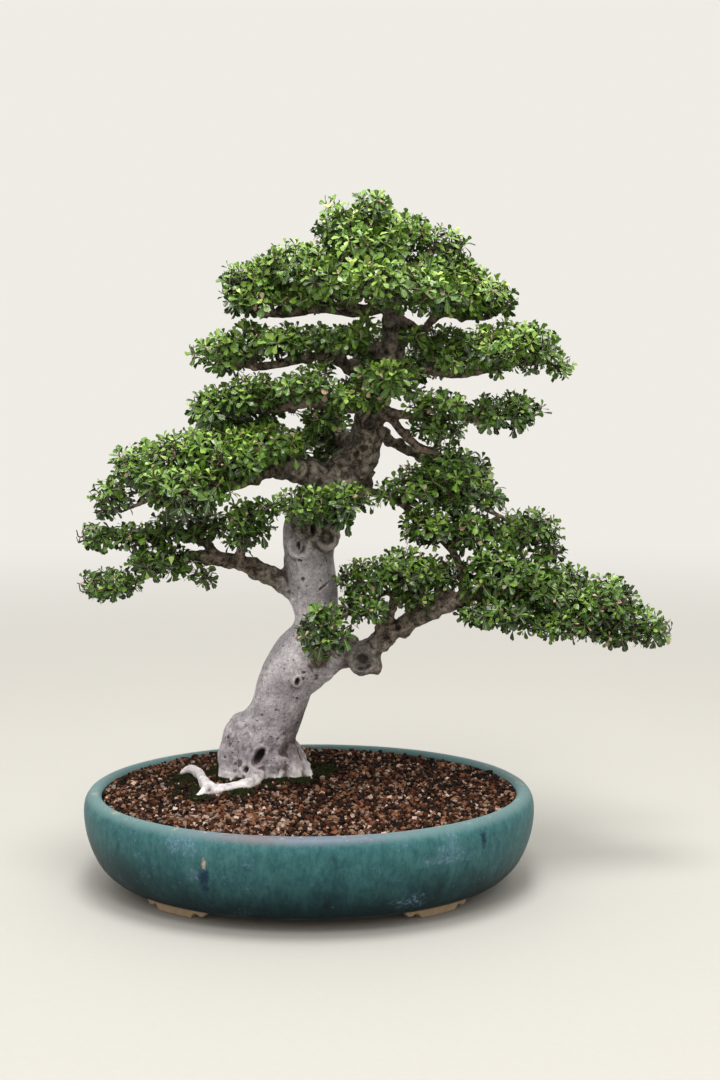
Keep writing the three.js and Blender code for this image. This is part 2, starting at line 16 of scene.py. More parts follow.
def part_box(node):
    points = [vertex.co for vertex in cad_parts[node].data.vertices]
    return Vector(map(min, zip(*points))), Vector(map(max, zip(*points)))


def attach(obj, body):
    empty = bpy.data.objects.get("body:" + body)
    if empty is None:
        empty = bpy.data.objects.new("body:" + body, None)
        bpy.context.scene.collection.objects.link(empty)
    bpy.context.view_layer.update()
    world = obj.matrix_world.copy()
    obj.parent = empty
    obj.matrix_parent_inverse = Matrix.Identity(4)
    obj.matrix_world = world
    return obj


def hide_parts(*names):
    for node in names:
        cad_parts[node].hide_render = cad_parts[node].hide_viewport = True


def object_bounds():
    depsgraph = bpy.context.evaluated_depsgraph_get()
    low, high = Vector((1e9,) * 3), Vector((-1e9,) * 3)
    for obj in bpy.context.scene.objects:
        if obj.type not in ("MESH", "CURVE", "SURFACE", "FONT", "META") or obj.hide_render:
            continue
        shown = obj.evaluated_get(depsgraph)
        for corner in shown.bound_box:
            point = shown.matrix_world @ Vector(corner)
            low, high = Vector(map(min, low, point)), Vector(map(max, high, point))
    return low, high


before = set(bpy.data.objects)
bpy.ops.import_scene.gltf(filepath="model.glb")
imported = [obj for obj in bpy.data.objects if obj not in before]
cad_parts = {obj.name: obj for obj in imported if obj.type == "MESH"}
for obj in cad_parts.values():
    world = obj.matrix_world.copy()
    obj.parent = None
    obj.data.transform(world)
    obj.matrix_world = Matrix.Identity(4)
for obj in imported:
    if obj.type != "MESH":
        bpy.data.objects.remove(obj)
CAD_LO, CAD_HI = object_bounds()
POT_LO, POT_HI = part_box("pot")
ORIGIN = np.array([(POT_LO.x + POT_HI.x) / 2, (POT_LO.y + POT_HI.y) / 2, 0.0])
MM = 0.001
GOLDEN_ANGLE = math.radians(137.508)

# The woody limbs: each point is [x, y, z, radius], from where the limb leaves its parent.
TRUNK = [
    [-58, 66, 72, 40], [-60, 66, 108, 43.5], [-58, 64, 140, 42.5], [-49, 62, 157, 35],
    [-41, 60, 176, 32], [-32, 57, 205, 31.5], [-16, 54, 236, 32], [2, 52, 264, 27.5],
    [7, 50, 290, 26], [4, 49, 311, 27], [1, 48, 334, 29.5], [-1, 46, 359, 28.5],
    [1, 44, 389, 31], [12, 44, 417, 30.5], [34, 44, 443, 27], [54, 44, 466, 23.5],
    [61, 44, 485, 19.5], [65, 44, 507, 18], [72, 44, 529, 15.5], [85, 44, 551, 14.5],
    [94, 44, 577, 13.5], [93, 44, 601, 11.5], [92, 44, 625, 10.5], [90, 42, 649, 7.5],
    [78, 38, 679, 6], [67, 34, 709, 4], [64, 34, 739, 2],
]
LIMBS = {
    "left_main": [
        [23, 44, 443, 14.5], [2, 30, 455, 14], [-12, 20, 457, 13], [-27, 16, 458, 11],
        [-42, 12, 458, 7], [-60, 10, 451, 6], [-80, 12, 442, 5], [-120, 18, 434, 4.5],
        [-165, 24, 429, 3.5], [-209, 32, 411, 2],
    ],
    "left_main_back": [[-42, 12, 461, 6.5], [-76, 22, 474, 5.5], [-114, 28, 477, 4.5]],
    "left_main_front": [[-60, 10, 452, 6], [-86, -14, 448, 5], [-107, -28, 445, 3]],
    "left_low": [
        [-11, 48, 322, 13.5], [-29, 44, 329, 12.5], [-47, 38, 339, 10.5], [-60, 36, 347, 10],
        [-78, 33, 354, 9.5], [-94, 30, 357, 8.5], [-113, 28, 360, 7], [-140, 26, 362, 5],
        [-176, 26, 342, 3.5], [-214, 28, 323, 2],
    ],
    "left_low_up": [[-80, 32, 356, 6], [-74, 14, 376, 5], [-68, -4, 399, 3.5]],
    "left_low_top": [[-106, 28, 363, 6.5], [-119, 40, 376, 5], [-151, 54, 383, 3.5]],
    "left_low_tip": [[-160, 50, 381, 4], [-191, 44, 384, 3.5], [-221, 38, 387, 3], [-248, 36, 379, 2]],
    "right_low": [
        [-5, 54, 224, 19.5], [12, 48, 230, 15.5], [29, 42, 240, 13], [45, 36, 247, 12.5],
        [61, 31, 252, 12.5], [77, 28, 263, 12], [91, 27, 274, 10.5], [106, 26, 284, 10],
        [121, 26, 293, 10], [139, 26, 302, 10], [159, 26, 309, 9.5], [188, 26, 321, 7.5],
        [230, 28, 323, 6], [269, 30, 309, 5], [315, 32, 295, 4], [372, 36, 279, 2.5],
    ],
    "right_low_back": [[213, 27, 323, 5], [250, 62, 327, 4.5], [286, 92, 327, 3.5]],
    "right_low_front": [[188, 26, 321, 5], [198, 4, 311, 4.5], [204, -12, 304, 3.5]],
    "right_inner": [[86, 28, 269, 8], [90, 20, 295, 5.5], [97, 4, 334, 4.5]],
    "right_inner_back": [[144, 26, 309, 6.5], [147, 30, 330, 5], [148, 34, 354, 4]],
    "right_mid": [
        [70, 44, 521, 7.5], [90, 40, 515, 5.2], [105, 36, 497, 4.5], [123, 34, 482, 5],
        [141, 34, 475, 4.5], [159, 36, 457, 4], [184, 40, 423, 3.5], [225, 44, 398, 2],
    ],
    "right_link": [
        [48, 44, 436, 8], [70, 40, 432, 5], [92, 34, 427, 4.5], [112, 32, 413, 4], [137, 32, 389, 4],
        [159, 30, 368, 4], [170, 28, 341, 4.5], [171, 26, 317, 5],
    ],
    "right_thin": [
        [70, 44, 523, 9], [85, 40, 523, 5.5], [105, 36, 518, 4.5], [132, 34, 515, 4],
        [174, 38, 517, 3.5], [224, 44, 519, 2],
    ],
    "right_up": [
        [95, 44, 625, 7.5], [112, 42, 616, 5.5], [127, 42, 611, 4.5], [136, 44, 623, 4.5],
        [149, 44, 630, 4.5], [169, 44, 627, 4], [196, 44, 625, 3],
    ],
    "right_up_low": [
        [97, 44, 548, 8], [112, 42, 558, 5], [128, 40, 567, 5], [146, 36, 565, 5], [169, 34, 564, 5],
        [191, 36, 567, 4.5], [220, 40, 574, 3.5], [256, 42, 579, 2],
    ],
    "left_up": [
        [83, 44, 548, 10], [65, 40, 557, 9.5], [51, 34, 567, 9], [37, 30, 576, 6], [19, 28, 583, 5],
        [-5, 26, 580, 5], [-32, 26, 575, 4.5], [-60, 30, 572, 4], [-94, 38, 579, 2.5],
    ],
    "left_up_front": [[37, 26, 577, 5.5], [36, 10, 588, 4.5], [34, -2, 597, 3]],
    "left_top": [
        [92, 42, 642, 7.5], [72, 36, 635, 7], [53, 32, 632, 6.5], [32, 30, 634, 6.5], [11, 29, 636, 6],
        [-9, 30, 632, 5.5], [-32, 32, 629, 4.5], [-58, 36, 631, 3.5], [-82, 40, 638, 2.5],
    ],
    "left_top_front": [[50, 28, 634, 5.5], [37, 6, 646, 4.5], [29, -12, 655, 3]],
    "left_top_back": [[11, 28, 638, 5], [-10, 62, 654, 4], [-22, 86, 668, 3.5]],
    "crown_front": [[90, 42, 645, 6.5], [85, 10, 647, 5.5], [82, -30, 650, 4]],
    "crown_back": [[85, 40, 664, 5.5], [77, 66, 687, 4.5], [72, 86, 708, 3.5]],
    "crown_right": [[87, 42, 653, 6.5], [109, 42, 658, 5.5], [134, 44, 671, 4.5], [149, 45, 679, 3.5]],
    "crown_right_front": [[88, 42, 650, 5.5], [111, 20, 650, 4.5], [132, -2, 652, 3.5]],
    "crown_right_back": [[109, 42, 658, 4.5], [135, 70, 661, 4], [156, 92, 664, 3.5]],
    "upper_front": [[88, 44, 551, 8], [83, 14, 555, 5.5], [80, -18, 560, 4.5]],
    "middle_left": [
        [72, 44, 529, 10], [45, 24, 529, 7], [11, -6, 534, 5.5], [-31, 18, 527, 5], [-72, 36, 526, 3.5],
    ],
    "middle_left_back": [[-9, 4, 531, 4.5], [-33, 52, 526, 4], [-55, 90, 521, 3.5]],
    "back_upper": [[94, 50, 588, 9], [77, 88, 587, 7], [45, 124, 587, 4.5]],
    "back_upper_right": [[86, 72, 587, 5.5], [100, 104, 578, 4.5], [112, 124, 572, 3.5]],
    "back_middle": [
        [63, 50, 492, 11], [47, 96, 487, 9], [21, 144, 484, 7], [-32, 146, 481, 6],
        [-80, 141, 483, 3.5],
    ],
    "back_right": [[65, 50, 507, 7.5], [102, 96, 480, 5.6], [150, 134, 459, 5], [187, 148, 446, 4.2]],
    "center_front": [[5, 44, 400, 12.5], [7, 10, 413, 9], [11, -26, 426, 5.5]],
    "front_low": [[9, 44, 231, 9], [15, -8, 260, 7], [17, -50, 283, 5.5]],
}
# Roots: the bare one lies on the soil, the toes grip it and run down into it.
ROOTS = {
    "bare": [
        [-62, 28, 111, 13], [-65, 7, 108, 9], [-78, -6, 107, 6.4], [-92, -14, 106.5, 6.6],
        [-104, -19, 106.5, 6.8], [-113, -9, 107.5, 7], [-120, 14, 109, 5.8], [-128, 36, 111, 5.6],
        [-137, 47, 112.5, 5], [-144, 48, 110.5, 4], [-149, 48, 106.5, 2.8],
    ],
    "bare_fork": [[-109, -12, 106, 6], [-116, -22, 105, 5.4], [-121, -33, 102.5, 3.8]],
    "toe_left": [[-72, 58, 138, 18], [-84, 50, 127, 20], [-91, 42, 109, 15], [-96, 33, 92, 10]],
    "toe_left_back": [[-70, 76, 133, 20], [-86, 82, 120, 18], [-98, 88, 104, 12], [-112, 94, 88, 6]],
    "toe_front_left": [[-62, 52, 148, 18], [-63, 38, 124, 16], [-64, 28, 107, 12], [-65, 18, 90, 8]],
    "toe_front": [[-48, 54, 146, 18], [-42, 42, 124, 14], [-39, 34, 108, 9.5], [-37, 27, 90, 7]],
    "toe_front_right": [[-36, 58, 142, 16], [-25, 46, 122, 13], [-18, 36, 107, 9.5], [-14, 28, 90, 7]],
    "toe_right": [[-34, 66, 140, 16], [-16, 58, 119, 12], [-5, 47, 105, 8], [2, 36, 90, 6]],
    "toe_right_back": [[-38, 78, 134, 18], [-22, 80, 117, 13], [-9, 82, 104, 9], [1, 88, 88, 7]],
    "toe_back": [[-50, 84, 144, 20], [-50, 98, 122, 18], [-50, 112, 106, 12], [-48, 130, 88, 7]],
}
# Swellings left by old cuts: [x, y, z, half width, half depth, half height]
BURLS = [
    [-85, 54, 125, 22, 27, 26], [-12, 24, 374, 14, 9, 15], [19, 22, 384, 15, 10, 16],
    [61, 27, 246, 20, 20, 20], [70, 27, 238, 12, 13, 11], [46, 29, 250, 9, 12, 12],
    [55, 33, 570, 9, 8, 9], [54, 28, 474, 12, 9, 14], [66, 31, 500, 11, 8, 11],
    [100, 24, 282, 9, 8, 8], [-14, 28, 222, 9, 8, 10], [-56, 78, 134, 26, 26, 26],
    [60, 62, 440, 12, 10, 14],
]
# Old wounds on the side that faces the viewer, put on the bark where a line along +Y meets it:
# [x, z, half width, half height, depth, rim, lean in degrees]
SCARS = [
    [-58, 133, 6.2, 12, 12, 1.4, 32], [-73, 118, 5, 5, 6, 0.8, 0], [-13.5, 220, 3.8, 6, 6, 1.3, 8],
    [-11.5, 374, 10, 11, 1.6, 2.6, 0], [-11.5, 375, 2.2, 5.5, 7, 0.6, -4],
    [5.5, 394, 3.8, 8, 9, 0.8, 6], [20, 384, 9.5, 10, 2.0, 2.4, 0], [-7, 337, 3, 3, 2.5, 0.4, 0],
    [-10, 358, 3.5, 2.4, 3, 0.4, 20], [59, 248, 13, 13.5, 3.0, 4.8, 10], [59, 249, 7, 7, 2.6, 1.0, 0],
    [54, 568, 4, 5, 4, 1.2, 0], [52, 476, 4.5, 6, 3, 1.4, 0], [99, 283, 4, 4, 3, 1.0, 0],
    [66, 508, 7, 9, 1.2, 2.4, 15], [60, 482, 8, 6, 1.2, 2.2, -20], [40, 452, 7, 8, 1.0, 2.0, 30],
    [16, 328, 1.8, 12, 2.2, 0.9, 52], [0, 254, 1.5, 11, 2.0, 0.6, -38], [24, 300, 1.8, 9, 2.0, 0.6, 20],
]
# Leaf pads, a list for each spray: [x, y, z, half width, half depth, half height]
PADS = {
    "apex": [
        [69, 40, 741, 20, 24, 18], [42, 28, 716, 27, 30, 22], [30, 34, 742, 9, 9, 10],
        [102, 50, 718, 27, 32, 20], [148, 46, 702, 21, 26, 14], [67, 4, 695, 38, 28, 22],
        [70, 92, 713, 38, 32, 24],
    ],
    "crown_left": [
        [-7, 28, 679, 42, 36, 22], [-63, 40, 660, 31, 34, 22], [-44, 26, 641, 38, 28, 10],
        [7, 14, 646, 26, 26, 12], [-25, 92, 673, 38, 32, 22], [31, -18, 664, 30, 28, 20],
    ],
    "crown_right": [
        [142, 46, 677, 34, 32, 22], [182, 42, 649, 38, 34, 20], [134, -8, 651, 36, 30, 20],
        [213, 50, 643, 12, 14, 11], [198, 46, 665, 6, 8, 8], [159, 98, 664, 38, 32, 22],
    ],
    "crown_front": [[84, -40, 657, 42, 30, 24]],
    "upper_left": [
        [-74, 42, 596, 37, 32, 19], [-20, 18, 598, 38, 34, 15], [33, -4, 603, 26, 24, 14],
        [-110, 40, 589, 15, 16, 12], [63, 20, 614, 12, 14, 12], [-94, 36, 577, 21, 20, 9],
    ],
    "upper_right": [
        [242, 42, 590, 32, 32, 22], [196, 20, 589, 36, 34, 21], [146, 62, 596, 30, 30, 17],
        [161, 12, 575, 20, 22, 9], [278, 44, 572, 9, 11, 8], [225, 60, 604, 31, 28, 10],
        [113, 30, 604, 11, 14, 9],
    ],
    "upper_front": [[89, -26, 558, 38, 30, 17], [52, -14, 541, 26, 26, 12]],
    "middle_left": [
        [-5, 0, 549, 26, 30, 17], [-63, 30, 537, 34, 38, 20], [-105, 38, 526, 24, 30, 18],
        [24, -10, 554, 26, 28, 18], [-56, 96, 521, 42, 34, 20], [19, 4, 518, 22, 22, 10],
    ],
    "middle_right": [
        [142, 14, 532, 28, 26, 13], [215, 50, 520, 40, 32, 17], [143, 26, 504, 24, 24, 12],
    ],
    "back_upper": [[45, 130, 589, 44, 38, 20], [119, 128, 571, 38, 34, 18]],
    "back_middle": [[16, 150, 481, 40, 40, 24], [-85, 142, 483, 50, 40, 24]],
    "back_right": [[170, 148, 437, 37, 38, 26]],
    "left_upper": [
        [-49, 10, 486, 42, 38, 18], [-111, 24, 474, 46, 42, 27], [-174, 26, 458, 36, 38, 28],
        [-126, -28, 441, 42, 36, 22], [-219, 30, 424, 18, 22, 20], [-72, -24, 471, 30, 28, 16],
    ],
    "left_lower": [
        [-67, -8, 400, 24, 26, 25], [-137, 44, 391, 40, 34, 15], [-162, 20, 357, 38, 32, 13],
        [-224, 28, 330, 27, 28, 13], [-120, 12, 344, 12, 12, 7], [-239, 34, 383, 21, 18, 8],
        [-195, 34, 383, 22, 24, 10],
    ],
    "center_front": [
        [-1, -34, 425, 30, 28, 15], [44, -36, 427, 30, 28, 18], [-45, -24, 423, 14, 16, 10],
        [52, -32, 411, 16, 18, 9],
    ],
    "right_upper": [
        [148, 44, 461, 23, 30, 23], [167, 44, 432, 26, 34, 23], [123, 24, 438, 40, 32, 20],
        [128, 22, 394, 24, 26, 16], [175, 40, 387, 32, 32, 20], [244, 52, 388, 32, 30, 19],
        [200, 44, 427, 13, 17, 13], [270, 48, 365, 14, 18, 10],
    ],
    "right_lower": [
        [212, 20, 343, 38, 34, 26], [206, 2, 303, 34, 30, 14], [259, 30, 323, 32, 32, 19],
        [271, 24, 288, 42, 34, 17], [326, 34, 304, 38, 32, 18], [345, 36, 274, 34, 28, 12],
        [391, 38, 276, 19, 18, 11], [274, 96, 320, 42, 36, 20],
        [334, 38, 321, 23, 24, 13], [376, 38, 287, 20, 20, 12],
    ],
    "right_inner": [
        [105, 0, 348, 36, 32, 20], [146, 34, 341, 24, 26, 16], [56, -2, 340, 24, 24, 15],
        [61, -22, 314, 22, 24, 14], [117, 2, 319, 20, 22, 10],
    ],
    "front_low": [[17, -60, 292, 25, 24, 24]],
}
# Gaps between the pads that the viewer sees through, at one depth: [x, z, half width, half height]
GAP_DEPTH = 30
GAPS = [
    (15, 622, 39, 6), (-103, 617, 27, 8), (34, 565, 12, 9), (44, 584, 9, 4), (-21, 512, 15, 9),
    (-62, 521, 7, 6), (-59, 435, 22, 12), (-125, 374, 18, 8), (-42, 370, 13, 19),
    (-200, 406, 15, 9), (-243, 354, 9, 8), (3, 478, 9, 3), (156, 553, 46, 8), (136, 622, 20, 5),
    (95, 296, 14, 6), (61, 280, 10, 4), (185, 333, 3, 7), (75, 395, 30, 20),
]
# Stretches of wood that no leaves in front hide: [x, y, z, half width, half height]
BARE_WOOD = [
    (-9, 12, 459, 33, 13), (-72, 32, 353, 46, 10), (-9, 30, 632, 61, 7), (-31, 28, 574, 31, 7),
    (156, 36, 565, 33, 6), (103, 34, 420, 13, 9), (95, 44, 608, 11, 21), (62, 44, 489, 22, 31),
]
VIEWER = np.array([56.5, -1741, 600.8])
# The photo in pixels: its height, its focal length and how far above its middle the horizon is
PHOTO = {"height": 1080, "focal": 1600, "horizon": 200}
UNDERSIDE = 0.88  # how deep a pad is below its middle, as a share of its height above it
# Layers of a leaf pad: the area that one rosette is tried for, its reach from the pad's middle, the
# room round it, the shift by its clump, how clear of other pads it is, and how many leaves it has
LAYERS = {
    "shell": {"area": 14, "reach": (0.82, 0.98), "room": 1.0, "clump": 8.5, "clear": 0.80, "leaves": 6},
    "stray": {"area": 300, "reach": (1.02, 1.25), "room": 0.9, "clump": 2.0, "clear": 0.80, "leaves": 5},
    "inner": {"area": 60, "reach": (0.35, 0.68), "room": 1.3, "clump": 2.0, "clear": 0.3, "leaves": 4},
}
ROSETTE_SPACING = 9.5
# A shoot starts where the distance is least, with shares added for the way back and for a start
# higher than its rosette; its radius grows with the rosettes that it bears, up to the thickest
SHOOT = {"below_rosette": 5.5, "way_back": 0.42, "height": 1.1, "radius": 0.82, "growth": 0.42,
         "thickest": 4.2, "tip": 0.55}
# Leaves of a rosette from the outermost to the innermost: length and tilt, and what they lose
LEAF = {"length": 14.2, "shorter": 6.2, "tilt": 88, "steeper": 60}
DRY_SHARE, BROWNING_SHARE = 0.036, 0.02
LEAF_OUTLINE = [(0.090, 0.30), (0.248, 0.68), (0.222, 0.885), (0.105, 0.900)]
WOOD_VOXEL = 2.05
KNOT_SEED, LEAF_SEED, SOIL_SEED = 5, 7, 23
# Dark flecks on the bark: how many in a metre, the share without one, the least and the most size
BARK_FLECKS = [(88.0, 0.50, 0.08, 0.22), (190.0, 0.62, 0.10, 0.24), (430.0, 0.66, 0.12, 0.32)]
POT_OUTSIDE = [
    (0, 9), (120, 9), (196, 9), (207, 9), (212, 9.6), (223, 16), (235, 29), (243.2, 46),
    (248.3, 64), (250.2, 80), (249.8, 92), (247.4, 99.5), (244.6, 103.4), (241.4, 105.4), (238, 106),
]
POT_INSIDE = [
    (238, 106), (235.4, 105.7), (232.8, 104.2), (230.6, 101), (231.2, 94), (236, 82), (234.5, 56),
    (220, 30), (195, 21), (110, 21), (0, 21),
]
POT_SEGMENTS, SOIL_SEGMENTS = 192, 128
AXIS_DIFFERENCE = 53  # the pot's half length less its half width
SQUEEZE_FROM = 150  # within this radius the rings keep one shape
# Marks in the glaze on the viewer's side: [x, z, half width, half height]
GLAZE_MILKY = [(-125, 93, 24, 13), (143, 75, 26, 7), (151, 94, 9, 11), (-112, 62, 9, 9),
               (150, 84, 16, 8)]
GLAZE_DARK = [(-101, 60, 6, 20), (185, 88, 4, 10)]
GLAZE_CHIPS = [(-101, 76, 3, 7)]
FOOT = {"middle": 48, "spread": 12.5, "radius": 210, "thickness": 17, "top": 11.5, "bevel": 1.2}
SOIL = {"edge": 99.5, "mound": 7, "reach": 85, "trunk": (-58, 66), "wall": 230.4}
DRAIN = {"offset": 92, "radius": 13}
# The soil's side against the pot, as radius and height, and the rings across its top
SOIL_SIDE = [
    (0.5, 21.6), (193, 21.6), (218, 30.5), (232.5, 56), (234, 80), (230.6, 92), (229.4, 96),
]
SOIL_RINGS, SOIL_TOP = 34, 97
PALE_GRIT = (-75, -105)  # the middle of the paler, larger grains in front of the trunk
GRAIN_STEP, ROW_GAP = 4.1, 0.866  # the gap between rows is a share of the step between grains
MOSS_TRIES = 5600
MOSS = [(-133, -9), (-119, -37), (-143, 32), (-56, 7), (-11, 23), (6, 49), (-78, -21), (24, 66), (10, 84)]
STUDIO, STUDIO_STRENGTH, OVERHEAD_STRENGTH = (0.865, 0.840, 0.790), 1.0, 2.3
# Round soft lights, in metres and watts: name, place, aim, diameter, power, colour
LIGHTS = [
    ("key", (-0.12, -1.4, 2.45), (0, 0, 0.45), 0.8, 25, (1, 0.985, 0.955)),
    ("top", (0, -0.3, 2.3), (0, 0, 0.5), 0.8, 42, (1, 1, 0.98)),
]
FLOOR_RINGS, FLOOR_SIDES = (0.4, 2, 9, 30), 96  # the rings' radii are metres


# Points and meshes
def place(points):
    """Millimetres from the pot's foot plane, as metres of the shared frame."""
    return np.asarray(points, float) * MM + ORIGIN


def mesh_object(name, points, faces):
    """An object in the scene, from points in metres and faces."""
    mesh = bpy.data.meshes.new(name)
    mesh.from_pydata(points.tolist(), [], [list(map(int, face)) for face in faces])
    made = bpy.data.objects.new(name, mesh)
    bpy.context.scene.collection.objects.link(made)
    return made


def mesh_piece(name, points, faces, material, flat=False, sharp=None):
    """A piece that rides on the root body, from points in millimetres and faces."""
    piece = mesh_object(name, place(points), faces)
    piece.data.materials.append(material)
    piece.data.polygons.foreach_set("use_smooth", [not flat] * len(piece.data.polygons))
    if sharp:
        piece.data.set_sharp_from_angle(angle=math.radians(sharp))
    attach(piece, "root")
    return piece


def with_modifiers(body):
    """A new mesh: the object's own with its modifiers applied."""
    graph = bpy.context.evaluated_depsgraph_get()
    return bpy.data.meshes.new_from_object(body.evaluated_get(graph))


def rows_of(items, name, width, kind=float):
    """One property of all the items of a mesh, in rows of this width."""
    values = np.empty(len(items) * width, kind)
    items.foreach_get(name, values)
    return values.reshape(-1, width)


def give(piece, name, values):
    """Stores one number for each point of the piece, which its material reads by name."""
    attribute = piece.data.attributes.new(name, "FLOAT", "POINT")
    attribute.data.foreach_set("value", np.asarray(values, np.float32))


def tree_of(points):
    tree = KDTree(len(points))
    for index, point in enumerate(points):
        tree.insert(point[:3], index)
    tree.balance()
    return tree


def unit(vectors):
    length = np.linalg.norm(vectors, axis=-1, keepdims=True)
    return vectors / np.maximum(length, 1e-9)


def noise_at(points, size, seed=0):
    """Smooth noise, about -1 to 1, whose lumps are about size across."""
    offset = Vector((seed * 17.3, seed * 5.1, seed * 29.7))
    return np.array([noise.noise(Vector(p) / size + offset) for p in points])


def smooth_path(points, step):
    """Samples of [x, y, z, r] about every step along a smooth curve through the points."""
    p = np.asarray(points, float)
    ends = np.array([2 * p[0] - p[1], 2 * p[-1] - p[-2]])
    padded = np.vstack([ends[:1], p, ends[1:]])
    rows = []
    for a, b, c, d in zip(padded, padded[1:], padded[2:], padded[3:]):
        count = max(1, round(np.linalg.norm((c - b)[:3]) / step))
        t = (np.arange(count) / count)[:, None]
        rows.append(0.5 * (2 * b + (c - a) * t + (2 * a - 5 * b + 4 * c - d) * t**2
                           + (3 * b - a - 3 * c + d) * t**3))
    path = np.vstack([*rows, p[-1:]])
    path[:, 3] = np.maximum(path[:, 3], 0.5)
    return path


def ring_faces(rings, sides, closed=False):
    """Faces between rings that follow one another and, if closed, over the first and the last."""
    low = (np.arange(rings - 1)[:, None] * sides + np.arange(sides)).ravel()
    after = (np.arange(rings - 1)[:, None] * sides + (np.arange(sides) + 1) % sides).ravel()
    faces = np.column_stack([low, after, after + sides, low + sides]).tolist()
    if closed:
        faces += [list(range(sides))[::-1], list(range((rings - 1) * sides, rings * sides))]
    return faces


def tube(path, sides, lumps=0.0, phase=0.0):
    """A closed tube round a path of [x, y, z, r]: its points and its faces."""
    centres, radii = path[:, :3], path[:, 3]
    tangents = unit(np.gradient(centres, axis=0))
    normal = np.cross(tangents[0], [0.31, 0.11, 0.95])
    if np.linalg.norm(normal) < 0.2:
        normal = np.cross(tangents[0], [0.95, 0.2, 0.1])
    normals = []
    for tangent in tangents:
        normal = normal - tangent * normal.dot(tangent)
        normal = normal / np.linalg.norm(normal)
        normals.append(normal)
    normals = np.array(normals)
    sideways = np.cross(tangents, normals)
    turn = np.arange(sides) * 2 * np.pi / sides
    drift = np.arange(len(path))[:, None] * 0.23 + phase
    swell = 1 + lumps * (np.sin(3 * turn + drift) + 0.6 * np.sin(2 * turn - 1.7 * drift))
    reach = radii[:, None] * swell
    rings = (centres[:, None]
             + (reach * np.cos(turn))[..., None] * normals[:, None]
             + (reach * np.sin(turn))[..., None] * sideways[:, None])
    tips = [centres[0] - tangents[0] * radii[0] * 0.5, centres[-1] + tangents[-1] * radii[-1] * 0.8]
    faces = ring_faces(len(path), sides)
    last = (len(path) - 1) * sides
    for j in range(sides):
        k = (j + 1) % sides
        faces += [[last + sides, k, j], [last + sides + 1, last + j, last + k]]
    return np.vstack([rings.reshape(-1, 3), tips]), faces


def joined(shapes):
    """Several (points, faces) as one."""
    points, faces, start = [], [], 0
    for shape_points, shape_faces in shapes:
        points.append(shape_points)
        faces.extend([[index + start for index in face] for face in shape_faces])
        start += len(shape_points)
    return np.vstack(points), faces


def round_lump(x, y, z, rx, ry, rz, rings=10, sides=16):
    """A closed rounded swelling: its points and its faces."""
    height = np.linspace(-1, 1, rings + 1) * 0.985
    path = np.column_stack([np.zeros((rings + 1, 2)), height, np.sqrt(1 - height**2)])
    points, faces = tube(path, sides)
    points[-2:, 2] = [-1, 1]
    return points * [rx, ry, rz] + [x, y, z], faces


